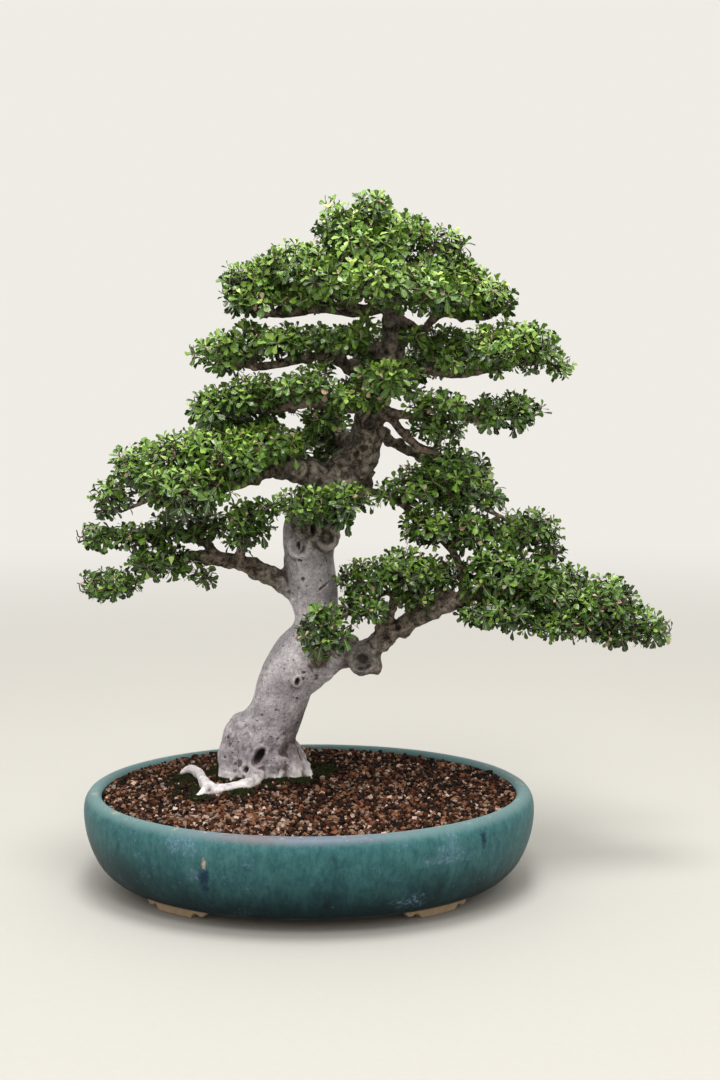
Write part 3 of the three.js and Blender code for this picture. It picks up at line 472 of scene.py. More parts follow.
# Materials
class Paint:
    """A material on the Principled shader, with short calls for the nodes that vary it."""

    def __init__(self, name, **settings):
        self.material = bpy.data.materials.new(name)
        self.material.use_nodes = True
        self.nodes = self.material.node_tree.nodes
        self.links = self.material.node_tree.links
        self.shader = self.nodes["Principled BSDF"]
        for socket, value in settings.items():
            self.shader.inputs[socket.replace("_", " ")].default_value = value

    def node(self, kind, **inputs):
        made = self.nodes.new("ShaderNode" + kind)
        for name, value in inputs.items():
            if isinstance(value, str):
                setattr(made, name, value)
            else:
                self.put(made.inputs[name.replace("_", " ")], value)
        return made

    def put(self, socket, value):
        if isinstance(value, bpy.types.NodeSocket):
            self.links.new(value, socket)
        elif isinstance(value, tuple) and len(value) == 3 and len(socket.default_value) == 4:
            socket.default_value = (*value, 1.0)
        else:
            socket.default_value = value

    def vector(self, operation, first, second=(0, 0, 0)):
        made = self.node("VectorMath", operation=operation)
        self.put(made.inputs[0], first)
        self.put(made.inputs[1], second)
        return made.outputs["Value" if operation == "LENGTH" else "Vector"]

    def place(self, stretch=(1, 1, 1)):
        """Where the surface is, in metres, with each axis scaled."""
        return self.vector("MULTIPLY", self.node("NewGeometry").outputs["Position"], stretch)

    def value(self, name):
        return self.node("Attribute", attribute_name=name).outputs["Fac"]

    def split(self, axis):
        return self.node("SeparateXYZ", Vector=self.place()).outputs[axis]

    def noise(self, scale, detail=4.0, roughness=0.6, stretch=(1, 1, 1), distortion=0.0):
        made = self.node("TexNoise", Vector=self.place(stretch), Scale=scale, Detail=detail,
                         Roughness=roughness, Distortion=distortion)
        return made.outputs["Fac"]

    def cells(self, scale, stretch=(1, 1, 1)):
        """Scattered cells: two numbers drawn by each, and the distance from its middle."""
        cell = self.node("TexVoronoi", Vector=self.place(stretch), Scale=scale)
        drawn = self.node("SeparateColor", Color=cell.outputs["Color"])
        return drawn.outputs[0], drawn.outputs[1], cell.outputs["Distance"]

    def maths(self, operation, *values):
        made = self.node("Math", operation=operation)
        for socket, value in zip(made.inputs, values):
            self.put(socket, value)
        return made.outputs[0]

    def times(self, first, second):
        return self.maths("MULTIPLY", first, second)

    def most(self, first, second):
        return self.maths("MAXIMUM", first, second)

    def between(self, value, low, high):
        """0 below low and 1 above high, eased between them."""
        made = self.node("MapRange", interpolation_type="SMOOTHSTEP")
        for name, setting in (("Value", value), ("From Min", low), ("From Max", high)):
            self.put(made.inputs[name], setting)
        return made.outputs["Result"]

    def level(self, low, high):
        """0 below the height low and 1 above the height high, in metres."""
        return self.between(self.split(2), low, high)

    def mix(self, share, first, second, blend="MIX"):
        made = self.node("Mix", data_type="RGBA", blend_type=blend)
        self.put(made.inputs["Factor"], share)
        self.put(made.inputs[6], first)
        self.put(made.inputs[7], second)
        return made.outputs[2]

    def tint(self, share, colour, factor):
        """The colour, multiplied by the factor where share is 1."""
        return self.mix(share, colour, self.mix(1.0, colour, factor, "MULTIPLY"))

    def grey(self, share, first, second):
        return self.mix(share, (first,) * 3, (second,) * 3)

    def ramp(self, value, *stops):
        made = self.node("ValToRGB", Fac=value)
        elements = made.color_ramp.elements
        while len(elements) < len(stops):
            elements.new(0.5)
        for element, (position, colour) in zip(elements, stops):
            element.position = position
            element.color = (*colour, 1.0)
        return made.outputs["Color"]

    def patch(self, x, z, wide, high):
        """1 inside an oval on the viewer's side of the pot, frayed by noise towards its edge."""
        away = self.vector("SUBTRACT", self.place(), place([x, 0, z]))
        reach = self.vector("LENGTH", self.vector("MULTIPLY", away, (1000 / wide, 0, 1000 / high)))
        frayed = self.maths("MULTIPLY_ADD", self.noise(150, 6.0, 0.75), 3.4, reach)
        near = self.between(self.split(1), ORIGIN[1] + 0.01, ORIGIN[1] - 0.01)
        return self.times(self.between(frayed, 2.9, 2.0), near)

    def bump(self, height, depth, strength=1.0):
        """Raises the surface by up to depth millimetres; called again, it adds to the first."""
        made = self.node("Bump", Height=height, Strength=strength, Distance=depth * MM)
        normal = self.shader.inputs["Normal"]
        if normal.is_linked:
            self.links.new(normal.links[0].from_socket, made.inputs["Normal"])
        self.links.new(made.outputs["Normal"], normal)

    def finish(self, colour, roughness):
        self.put(self.shader.inputs["Base Color"], colour)
        self.put(self.shader.inputs["Roughness"], roughness)
        return self.material


def pale_bark(p, grain):
    """The trunk's bark: clouded, stained, greyer low down, brown on the side that faces +X, where it is
    partly painted shade, and white where it meets the soil.
    """
    cloud = p.between(p.noise(30, 6.0, 0.65), 0.3, 0.7)
    colour = p.mix(cloud, (0.350, 0.336, 0.366), (0.700, 0.678, 0.720))
    colour = p.tint(p.between(grain, 0.66, 0.40), colour, (0.70, 0.67, 0.66))
    fibre = p.between(p.noise(200, 5.0, 0.7, (1, 1, 0.45)), 0.50, 0.34)
    colour = p.tint(fibre, colour, (0.74, 0.71, 0.72))
    colour = p.tint(p.times(p.level(0.20, 0.15), 0.85), colour, (0.74, 0.72, 0.74))
    shade = p.times(p.between(p.noise(42, 6.0, 0.7), 0.40, 0.62), p.level(0.215, 0.16))
    colour = p.tint(p.times(shade, p.level(0.119, 0.132)), colour, (0.52, 0.50, 0.52))
    # Partly a brown stain, partly painted shade: surfaces that face +X, away from the key light, darken to
    # brown in a noisy band.
    facing = p.node("SeparateXYZ", Vector=p.node("NewGeometry").outputs["Normal"]).outputs[0]
    edge = p.times(p.between(facing, 0.35, 0.9), p.between(p.noise(110, 5.0, 0.7), 0.40, 0.62))
    colour = p.mix(p.times(edge, 0.75), colour, (0.13, 0.098, 0.075))
    white = p.times(p.level(0.121, 0.104), p.between(p.noise(48, 5.0, 0.65), 0.30, 0.58))
    colour = p.mix(p.times(white, 0.9), colour, (0.70, 0.68, 0.68))
    stain = p.between(p.noise(20, 5.0, 0.65, (1, 1, 0.55)), 0.52, 0.72)
    return p.mix(p.times(stain, 0.55), colour, (0.20, 0.150, 0.112))


def bark_dots(p, age, grain):
    """Dark flecks of three sizes, on old bark above the soil."""
    dots = 0.0
    for scale, rarity, least, most in BARK_FLECKS:
        drawn, girth, distance = p.cells(scale, (1, 1, 1.3))
        size = p.maths("MULTIPLY_ADD", girth, most - least, least)
        edge = p.maths("SUBTRACT", size, p.maths("MULTIPLY_ADD", grain, 0.12, distance))
        dot = p.times(p.maths("GREATER_THAN", drawn, rarity), p.between(edge, -0.09, -0.02))
        dots = p.most(dots, dot)
    return p.times(p.times(dots, p.between(age, 0.5, 0.1)), p.level(0.112, 0.124))


def bark_paint():
    """Pale smooth bark with dark flecks on the trunk, darker and rougher on thinner wood, with painted
    shade in its crevices and scar hollows and painted highlights on its ridges.
    """
    p = Paint("bark", Roughness=0.82, Specular_IOR_Level=0.3)
    age, relief_shading = p.value("thinness"), p.value("relief_shading")
    grain = p.noise(300, 6.0, 0.75)
    scale = p.between(p.maths("MULTIPLY_ADD", grain, 0.5, p.noise(120, 5.0, 0.7)), 0.60, 0.92)
    brown = p.mix(scale, (0.022, 0.017, 0.011), (0.215, 0.186, 0.148))
    dark = p.mix(scale, (0.014, 0.010, 0.007), (0.190, 0.146, 0.112))
    bark = p.mix(p.between(age, 0.08, 0.60), pale_bark(p, grain), brown)
    bark = p.mix(p.between(age, 0.55, 0.95), bark, dark)
    # Painted shade darkens the crevices and a painted highlight lightens the ridges, by how far each point
    # lies below or above its neighbours.
    bark = p.tint(p.between(relief_shading, 0.04, 0.55), bark, (0.34, 0.29, 0.26))
    bark = p.tint(p.between(relief_shading, -0.05, -0.6), bark, (1.35, 1.33, 1.30))
    dots = bark_dots(p, age, grain)
    bark = p.mix(p.times(dots, 0.88), bark, (0.050, 0.036, 0.030))
    # Painted shade: the scars' dents are darkened to near black, more where they are deeper.
    bark = p.mix(p.value("hollow_shade"), bark, (0.014, 0.011, 0.009))
    p.bump(p.noise(85, 4.0, 0.6, (0.4, 0.4, 2.0), 0.5), 1.1, 0.8)
    p.bump(grain, 0.9, 0.9)
    p.bump(dots, -0.8, 0.9)
    return p.finish(bark, p.grey(grain, 0.74, 0.95))


def leaf_paint():
    """Glossy green leaves with a pale midrib and side veins; young ones are yellower."""
    p = Paint("leaf", Roughness=0.3, Specular_IOR_Level=0.45)
    dry = p.value("dry")
    where = p.node("SeparateXYZ", Vector=p.node("UVMap", uv_map="leaf").outputs["UV"])
    side = p.maths("ABSOLUTE", where.outputs[0])
    # The tone carries painted light and shade as well as the leaves' own tone: lighter on top and high up,
    # darker inside the pads, underneath and low down.
    green = p.ramp(p.value("tone"), (0.0, (0.005, 0.011, 0.002)), (0.26, (0.017, 0.047, 0.005)),
                   (0.50, (0.063, 0.140, 0.012)), (0.74, (0.168, 0.284, 0.030)),
                   (1.0, (0.390, 0.490, 0.120)))
    blotch = p.noise(420, 3.0)
    green = p.tint(p.times(blotch, 0.5), green, (0.55, 0.75, 0.5))
    slant = p.maths("SUBTRACT", where.outputs[1], p.times(side, 0.22))
    slant = p.maths("SUBTRACT", p.maths("FRACT", p.times(slant, 7.0)), 0.5)
    vein = p.times(p.between(p.maths("ABSOLUTE", slant), 0.42, 0.5), p.between(side, 1.0, 0.4))
    lines = p.most(p.between(side, 0.11, 0.03), p.times(vein, 0.5))
    colour = p.mix(p.times(lines, 0.45), green, (0.34, 0.48, 0.13))
    colour = p.mix(dry, colour, p.mix(blotch, (0.16, 0.085, 0.045), (0.52, 0.38, 0.27)))
    p.bump(lines, -0.25, 0.6)
    p.bump(blotch, 0.3, 0.35)
    return p.finish(colour, p.mix(dry, p.grey(blotch, 0.20, 0.36), (0.7, 0.7, 0.7)))


def glaze_ground(p, height, mottle):
    """Teal that darkens in runs down the wall and, as painted shade, towards the foot and at the lower
    left end; with streaks, fine grains and milky patches.
    """
    teal = p.mix(p.noise(9, 5.0, 0.6), (0.019, 0.078, 0.084), (0.048, 0.136, 0.140))
    teal = p.tint(p.between(mottle, 0.35, 0.7), teal, (1.35, 1.28, 1.25))
    # Partly the glaze's own darker runs, partly painted shade: the wall darkens towards the foot.
    drift = p.maths("MULTIPLY_ADD", p.noise(46, 4.0, 0.6, (1, 1, 0.10), 0.3), 0.052, height)
    teal = p.mix(p.times(p.between(drift, 0.106, 0.046), 0.94), teal, (0.003, 0.012, 0.016))
    # Painted shade: the lower part of the pot's left end is darkened.
    corner = p.times(p.between(p.split(0), -0.17, -0.31), p.between(height, 0.082, 0.040))
    teal = p.mix(p.times(corner, 0.7), teal, (0.003, 0.018, 0.024))
    grains = p.between(p.noise(210, 6.0, 0.75, (1, 1, 0.45)), 0.42, 0.60)
    teal = p.tint(grains, teal, (0.66, 0.74, 0.80))
    pale_runs = p.between(p.noise(60, 5.0, 0.7, (1, 1, 0.22), 0.4), 0.54, 0.74)
    teal = p.tint(p.times(pale_runs, 0.5), teal, (1.6, 1.45, 1.35))
    streak = p.between(p.noise(26, 5.0, 0.65, (1, 1, 0.30), 0.5), 0.56, 0.74)
    teal = p.mix(p.times(streak, 0.6), teal, (0.006, 0.024, 0.046))
    flecks = p.between(p.noise(260, 5.0, 0.75), 0.48, 0.62)
    milky = p.times(p.between(p.noise(17, 5.0, 0.7, (1, 1, 1.6)), 0.58, 0.70), flecks)
    cream = p.maths("MULTIPLY_ADD", flecks, 0.75, 0.25)
    for oval_patch in GLAZE_MILKY:
        milky = p.most(milky, p.times(p.patch(*oval_patch), cream))
    teal = p.mix(p.times(milky, 0.62), teal, (0.15, 0.24, 0.33))
    for oval_patch in GLAZE_DARK:
        teal = p.mix(p.times(p.patch(*oval_patch), 0.85), teal, (0.005, 0.016, 0.045))
    return teal


def glaze_edges(p, height, teal):
    """The pale rim, worn along its top, and the glaze's thick lower edge."""
    rim = p.mix(p.noise(24, 4.0), (0.085, 0.170, 0.160), (0.105, 0.150, 0.165))
    rim = p.mix(p.patch(-8, 104, 120, 60), rim, (0.125, 0.138, 0.185))
    rim = p.mix(p.patch(-52, 104, 40, 30), rim, (0.140, 0.118, 0.135))
    teal = p.mix(p.times(p.between(height, 0.0965, 0.1045), 0.8), teal, rim)
    worn = p.times(p.between(height, 0.1035, 0.1058), p.between(p.noise(85, 5.0, 0.7), 0.54, 0.68))
    teal = p.mix(p.times(worn, 0.6), teal, (0.32, 0.265, 0.205))
    lip = p.times(p.between(height, 0.0150, 0.0125), p.between(p.noise(60, 4.0), 0.35, 0.6))
    return p.mix(p.times(lip, 0.4), teal, (0.12, 0.15, 0.15))


def glaze_paint():
    """Teal glaze that runs to blue, breaks pale on the rim and is bare clay under the foot."""
    p = Paint("glaze", Roughness=0.4, Specular_IOR_Level=0.11)
    height = p.split(2)
    mottle = p.noise(75, 6.0, 0.65)
    teal = glaze_edges(p, height, glaze_ground(p, height, mottle))
    drawn, _, distance = p.cells(27.0, (1, 1, 0.8))
    size = p.maths("MULTIPLY_ADD", mottle, 0.11, 0.03)
    spot = p.times(p.between(drawn, 0.93, 0.94), p.maths("LESS_THAN", distance, size))
    for oval_patch in GLAZE_CHIPS:
        spot = p.most(spot, p.patch(*oval_patch))
    teal = p.mix(p.times(spot, 0.85), teal, (0.44, 0.40, 0.31))
    drawn, _, distance = p.cells(210.0)
    pin = p.times(p.between(drawn, 0.94, 0.95), p.maths("LESS_THAN", distance, 0.16))
    teal = p.mix(p.times(pin, 0.35), teal, (0.24, 0.30, 0.27))
    clay = p.mix(p.noise(120, 5.0, 0.7), (0.25, 0.165, 0.095), (0.47, 0.36, 0.24))
    ragged = p.maths("MULTIPLY_ADD", p.noise(60, 3.0), 0.002, height)
    bare = p.most(p.between(ragged, 0.0112, 0.0102), p.value("unglazed"))
    p.bump(p.noise(28, 3.0, 0.5), 1.6, 0.5)
    p.bump(mottle, 0.35, 0.35)
    p.bump(spot, -0.8, 1.0)
    gloss = p.mix(p.most(bare, spot), p.grey(mottle, 0.34, 0.54), (0.85, 0.85, 0.85))
    return p.finish(p.mix(bare, teal, clay), gloss)


def grit_paint():
    """Baked clay, lava and pumice grains, each with its own colour."""
    p = Paint("grit", Roughness=0.9, Specular_IOR_Level=0.12)
    colour = p.ramp(p.value("kind"), (0.0, (0.008, 0.006, 0.005)), (0.30, (0.018, 0.008, 0.005)),
                    (0.50, (0.075, 0.028, 0.014)), (0.66, (0.175, 0.070, 0.034)),
                    (0.79, (0.280, 0.160, 0.095)), (0.88, (0.170, 0.142, 0.122)),
                    (1.0, (0.640, 0.480, 0.390)))
    fine = p.noise(900, 4.0, 0.7)
    darker = p.mix(1.0, colour, (0.55, 0.5, 0.5), "MULTIPLY")
    p.bump(fine, 0.5, 0.8)
    return p.finish(p.mix(p.between(fine, 0.35, 0.7), darker, colour), p.grey(fine, 0.78, 0.97))


def bed_paint():
    """The shaded soil between and beneath the grains."""
    p = Paint("soil_bed", Roughness=0.95, Specular_IOR_Level=0.1)
    crumb = p.noise(520, 5.0, 0.75)
    p.bump(crumb, 2.0, 1.0)
    return p.finish(p.mix(crumb, (0.007, 0.004, 0.003), (0.040, 0.022, 0.015)), p.grey(crumb, 0.85, 1.0))


def moss_paint():
    """Moss that is lighter at the tips of its blades."""
    p = Paint("moss", Roughness=0.9, Specular_IOR_Level=0.15)
    fine = p.noise(380, 4.0, 0.7)
    colour = p.mix(p.value("tone"), (0.004, 0.006, 0.002), (0.030, 0.037, 0.009))
    p.bump(fine, 0.5, 0.8)
    return p.finish(p.mix(p.between(fine, 0.5, 0.75), colour, (0.064, 0.066, 0.022)),
                    p.grey(fine, 0.8, 0.98))


def mesh_paint():
    """The moulded net over a drain hole."""
    p = Paint("screen", Roughness=0.5)
    dust = p.between(p.noise(240, 5.0, 0.7), 0.45, 0.7)
    p.bump(p.noise(700, 3.0), 0.2, 0.5)
    return p.finish(p.mix(p.times(dust, 0.5), (0.018, 0.022, 0.022), (0.13, 0.085, 0.058)),
                    p.grey(dust, 0.42, 0.85))


def floor_paint():
    """A pale matt floor that fades into the studio's background far from the object."""
    p = Paint("floor", Roughness=0.8)
    fine = p.noise(130, 4.0)
    p.finish(p.mix(fine, (0.325, 0.318, 0.30), (0.35, 0.343, 0.325)), p.grey(fine, 0.75, 0.85))
    glow = p.node("Emission", Color=STUDIO, Strength=STUDIO_STRENGTH)
    blend = p.node("MixShader")
    away = p.between(p.vector("LENGTH", p.place((1, 1, 0))), 0.9, 3.2)
    for socket, value in zip(blend.inputs, (away, p.shader.outputs[0], glow.outputs[0])):
        p.put(socket, value)
    p.links.new(blend.outputs[0], p.nodes["Material Output"].inputs["Surface"])
    return p.material


# Wood
def collared(path):
    """The limb swells where it leaves its parent."""
    gone = np.concatenate([[0], np.cumsum(np.linalg.norm(np.diff(path[:, :3], axis=0), axis=1))])
    path = path.copy()
    path[:, 3] *= 1 + 0.25 * np.exp(-gone / (1.1 * path[0, 3]))
    return path


def neighbours_mean(values, edges):
    """For each point, the mean of the numbers at the points that it shares an edge with."""
    a, b = edges.T
    total = np.bincount(a, values[b], len(values)) + np.bincount(b, values[a], len(values))
    return total / np.maximum(np.bincount(edges.ravel(), minlength=len(values)), 1)


def relaxed(points, edges, rounds):
    """Smooths a mesh's points without shrinking thin limbs."""
    for step in (0.5, -0.52) * rounds:
        means = np.stack([neighbours_mean(axis, edges) for axis in points.T], 1)
        points = points + step * (means - points)
    return points


def spread(values, edges, rounds):
    """Blends the number at each point with its neighbours'."""
    for _ in range(rounds):
        values = 0.4 * values + 0.6 * neighbours_mean(values, edges)
    return values


def wood_paths():
    paths = {"trunk": smooth_path(TRUNK, 4)}
    paths.update({name: collared(smooth_path(points, 3)) for name, points in LIMBS.items()})
    paths.update({name: smooth_path(points, 3) for name, points in ROOTS.items()})
    return paths


def knots():
    """Uneven lumps along the limbs."""
    random = np.random.default_rng(KNOT_SEED)
    lumps = []
    for points in LIMBS.values():
        for x, y, z, r in smooth_path(points, 17)[2:-1]:
            if r > 3:
                centre = random.normal(size=3) * 0.35 * r + [x, y, z]
                lumps.append(round_lump(*centre, *(r * random.uniform(0.95, 1.3, 3)), 8, 12))
    return lumps


def fused(shapes):
    """The shapes under one skin of small quads: its points, faces and edges."""
    points, faces = joined(shapes)
    body = mesh_object("raw_wood", points * MM, faces)
    remesh = body.modifiers.new("fuse", "REMESH")
    remesh.mode = "VOXEL"
    remesh.voxel_size = WOOD_VOXEL * MM
    skin = with_modifiers(body)
    bpy.data.objects.remove(body)
    faces = rows_of(skin.loops, "vertex_index", 1, int).reshape(-1, 4)
    edges = rows_of(skin.edges, "vertices", 2, int)
    return relaxed(rows_of(skin.vertices, "co", 3) / MM, edges, 7), faces, edges


def bark_radii(paths):
    """The radius that a limb's colour goes by: low limbs leave the trunk with the trunk's bark."""
    radii = []
    for path in paths.values():
        along = np.linalg.norm(path[:, :3] - path[0, :3], axis=1)
        from_trunk = np.linalg.norm(paths["trunk"][:, :3] - path[0, :3], axis=1).min()
        added = 15 if path[0, 2] < 300 and from_trunk < 32 else 0
        radii.append(path[:, 3] + added * np.exp(-(along / 26) ** 2))
    return np.concatenate(radii)


def relief(points, radius):
    """How far the wood swells at each point: slow lumps, knobbly thin limbs, folds up the trunk."""
    lump = noise_at(points, 34, 1) * 1.5 + noise_at(points, 13, 2) * 0.65
    knobbly = (noise_at(points, 17, 7) * 0.20 + noise_at(points, 8, 3) * 0.17
               + noise_at(points, 4.2, 4) * 0.08) * np.maximum(radius, 3)
    slender = np.clip((24 - radius) / 14, 0, 1)
    creases = np.exp(-(noise_at(points, 21, 11) / 0.17) ** 2)
    creases *= np.clip(noise_at(points, 33, 14) * 4, 0, 1)
    folds = noise_at(points, 25, 12) * 5.4 + noise_at(points, 12, 13) * 1.8 - 2.4 * creases
    folds *= np.clip((points[:, 2] - 395) / 50, 0, 1) * np.clip((radius - 7) / 8, 0, 1)
    return lump * (1 - 0.8 * slender) + knobbly * slender + folds


def scarred(points, faces):
    """Cuts the old wounds into the wood, and tells at each point how much painted shade darkens it, more
    in deeper dents.
    """
    front = BVHTree.FromPolygons([Vector(p) for p in points], faces.tolist())
    hollow_shade = np.zeros(len(points))
    for x, z, wide, high, depth, rim, lean in SCARS:
        spot, normal, _, _ = front.ray_cast(Vector((x, -190, z)), Vector((0, 1, 0)))
        if spot is None:
            continue
        away = unit(np.array(normal))
        level = unit(np.cross([0, 0, 1], away))
        turn = math.radians(lean)
        offset = points - np.array(spot)
        u, v = offset @ level, offset @ np.cross(away, level)
        u, v = u * math.cos(turn) - v * math.sin(turn), u * math.sin(turn) + v * math.cos(turn)
        reach = np.hypot(u / wide, v / high)
        near = np.exp(-((offset @ away) / (2.5 * max(wide, high))) ** 4)
        dent = np.exp(-(reach / 0.75) ** 4) * near
        ring = np.exp(-(((reach - 1.12) / 0.3) ** 2)) * near
        points = points + away * (rim * ring - depth * dent)[:, None]
        # Painted shade in the dent, stronger where the dent is deeper.
        hollow_shade = np.maximum(hollow_shade, dent * min(1, depth / 5) * 0.9)
    return points, hollow_shade


def wood_piece(material):
    """The trunk, limbs and bare roots as one piece; returns its points and faces."""
    paths = wood_paths()
    shapes = [tube(path, 40 if name == "trunk" else 20, 0.035, index)
              for index, (name, path) in enumerate(paths.items())]
    shapes += [round_lump(*burl) for burl in BURLS] + knots()
    points, faces, edges = fused(shapes)
    samples = np.vstack(list(paths.values()))
    tree = tree_of(samples)
    nearest = np.array([
        min(tree.find_n(p, 6), key=lambda hit: hit[2] - samples[hit[1], 3])[1] for p in points
    ])
    outward = unit(points - samples[nearest, :3])
    points = points + outward * relief(points, samples[nearest, 3])[:, None]
    points, hollow_shade = scarred(points, faces)
    piece = mesh_piece("bark_of_trunk_and_branches", points, faces, material)
    height = points[:, 2]
    old_wood = np.clip((height - 305) / 165, 0, 1) * 0.6
    thin = np.clip((17 - bark_radii(paths)[nearest]) / 10, 0, 1) * np.clip((height - 170) / 50, 0, 1)
    # How far each point lies below its smoothed neighbours, for the painted shade in crevices and the
    # painted highlight on ridges.
    level = np.stack([spread(axis, edges, 8) for axis in points.T], 1)
    depth = ((level - points) * rows_of(piece.data.vertices, "normal", 3)).sum(axis=1)
    give(piece, "thinness", spread(np.maximum(old_wood, thin), edges, 26))
    give(piece, "hollow_shade", hollow_shade)
    give(piece, "relief_shading", np.clip(depth / 1.1, -1, 1))
    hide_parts("trunk_and_branches")
    return points, faces


# Foliage
def leaf_shape(fold, droop, twist):
    """A toothed, spoon-shaped blade one unit long: points, triangles, places across and along."""
    right = [(0.0, 0.0), *LEAF_OUTLINE, (0.0, 1.0)]
    left = [(-x, y) for x, y in LEAF_OUTLINE]
    x, y = np.array(right + left + [(0, 0.58)]).T
    z = fold * np.abs(x) - droop * y**2 + twist * x * y
    triangles = []
    for i in range(5):
        mirrored = [j if j in (0, 5) else j + 5 for j in (i, i + 1)]
        triangles += [[i, i + 1, 10], [mirrored[1], mirrored[0], 10]]
    return np.column_stack([x, y, z]), np.array(triangles), np.column_stack([x / 0.245, y])


LEAVES = [leaf_shape(0.34, 0.12, 0.0), leaf_shape(0.16, 0.26, 0.25), leaf_shape(0.50, -0.05, -0.3),
          leaf_shape(0.25, 0.40, -0.1), leaf_shape(0.10, 0.05, 0.5)]


def in_sight(point, x, y, z, wide, high):
    """Whether the viewer sees the point against an opening of this size at (x, y, z)."""
    seen = VIEWER + (point - VIEWER) * (y - VIEWER[1]) / (point[1] - VIEWER[1])
    return abs((seen[0] - x) / wide) ** 2.5 + abs((seen[2] - z) / high) ** 2.5 < 1


def hides(point):
    """Whether a rosette at the point would fill a gap or cover bare wood."""
    if any(in_sight(point, x, GAP_DEPTH, z, wide + 3, high + 4) for x, z, wide, high in GAPS):
        return True
    return any(point[1] < y - 4 and in_sight(point, x, y, z, wide + 2, high + 2)
               for x, y, z, wide, high in BARE_WOOD)


def rosette_places(random):
    """Where the rosettes sit: spray, centre, the way each faces, layer, how far up it points."""
    pads = [(name, np.array(pad, float)) for name, group in PADS.items() for pad in group]
    everything = np.array([pad for _, pad in pads])
    wanted = []
    for index, (_, pad) in enumerate(pads):
        area = 4 * np.pi * np.mean([pad[3] * pad[4], pad[3] * pad[5], pad[4] * pad[5]])
        for layer, rule in LAYERS.items():
            for way in unit(random.normal(size=(int(area / rule["area"]), 3))):
                wanted.append((index, way, random.uniform(*rule["reach"]), layer))
    order = random.permutation(len(wanted))
    kept_points = np.zeros((len(wanted), 3))
    kept = []
    for i in sorted(order, key=lambda i: list(LAYERS).index(wanted[i][3])):
        index, way, share, layer = wanted[i]
        name, pad = pads[index]
        rule = LAYERS[layer]
        if way[2] < -0.3 and random.random() < 0.35:
            continue
        if way[2] < -0.7 and layer != "inner" and random.random() < 0.6:
            continue
        size = pad[3:] * [1, 1, 1 if way[2] > 0 else UNDERSIDE]
        point = pad[:3] + way * size * share
        point = pad[:3] + (point - pad[:3]) * (1 + 0.21 * noise.noise(Vector(point / 25.0)))
        clump = noise.noise(Vector(point / 17.0))
        if layer == "shell" and clump < -0.29:
            continue
        point = point + unit(way / size) * clump * rule["clump"]
        if hides(point):
            continue
        depths = (point - everything[:, :3]) / everything[:, 3:]
        depths[:, 2] /= np.where(depths[:, 2] < 0, UNDERSIDE, 1)
        depths = np.sqrt((depths**2).sum(axis=1))
        depths[index] = np.inf
        if depths.min() < rule["clear"]:
            continue
        room = ROSETTE_SPACING * rule["room"]
        if kept and ((kept_points[:len(kept)] - point) ** 2).sum(axis=1).min() < room**2:
            continue
        axis = unit(unit(way / size) + np.array([0, 0, 0.7]) + random.normal(size=3) * 0.34)
        kept_points[len(kept)] = point
        kept.append((name, point, axis, layer, way[2]))
    return kept


def shoot_curve(origin, leave, goal, axis, length, random):
    """Points along a shoot that leaves origin one way and reaches goal along its axis."""
    steps = int(np.clip(round(length / 8), 2, 8))
    t = (np.arange(1, steps + 1) / steps)[:, None]
    curve = ((2 * t**3 - 3 * t**2 + 1) * origin + (t**3 - 2 * t**2 + t) * leave * length * 0.9
             + (-2 * t**3 + 3 * t**2) * goal + (t**3 - t**2) * axis * length * 0.9)
    curve[:-1] += random.normal(size=(steps - 1, 3)) * min(1.3, length * 0.05)
    return curve


def grow_shoots(rosettes, random):
    """Joins each rosette to the limbs by shoots that branch as they spread.

    Returns the spray's tubes by name. Each rosette's shoot starts at the nearest point that is
    already reached, counting part of the way back to the limb.
    """
    limb_points = np.vstack([smooth_path(points, 7) for points in LIMBS.values()]
                            + [smooth_path(TRUNK[13:], 7)])
    used = len(limb_points)
    total = used + len(rosettes) * 12
    places, ahead = np.zeros((2, total, 3))
    places[:used] = limb_points[:, :3]
    back, load = np.zeros((2, total))
    parent = np.full(total, -1)
    bases = np.array([point - axis * SHOOT["below_rosette"] for _, point, axis, _, _ in rosettes])
    limb_tree = tree_of(limb_points)
    runs = []
    for i in np.argsort([limb_tree.find(base)[2] for base in bases]):
        goal, axis = bases[i], rosettes[i][2]
        gaps = np.linalg.norm(places[:used] - goal, axis=1)
        above = np.maximum(places[:used, 2] - goal[2] - 3, 0)
        cost = gaps + SHOOT["way_back"] * back[:used] + SHOOT["height"] * above
        start = int(np.argmin(cost + np.where(gaps < 4, 4.0, 0)))
        origin, length = places[start], gaps[start]
        leave = unit(goal - origin + ahead[start] * length * 0.5 + random.normal(size=3) * length * 0.12)
        chain = [start]
        for point in shoot_curve(origin, leave, goal, axis, length, random):
            places[used] = point
            parent[used] = chain[-1]
            back[used] = back[chain[-1]] + np.linalg.norm(point - places[chain[-1]])
            ahead[used] = unit(point - places[chain[-1]])
            chain.append(used)
            used += 1
        load[chain[-1]] += 1
        runs.append((i, chain))
    for node in range(used - 1, len(limb_points) - 1, -1):
        load[parent[node]] += load[node]
    shoots = {}
    for i, chain in runs:
        name, point, axis = rosettes[i][:3]
        thickness = SHOOT["radius"] * np.maximum(load[chain], 1) ** SHOOT["growth"]
        thickness[0] = thickness[1] * 1.15
        path = np.column_stack([places[chain], np.minimum(thickness, SHOOT["thickest"])])
        path = np.vstack([path, [*(point + axis * 1.5), SHOOT["tip"]]])
        shoots.setdefault(name, []).append(tube(path, 5 if load[chain[1]] > 1 else 4))
    return shoots


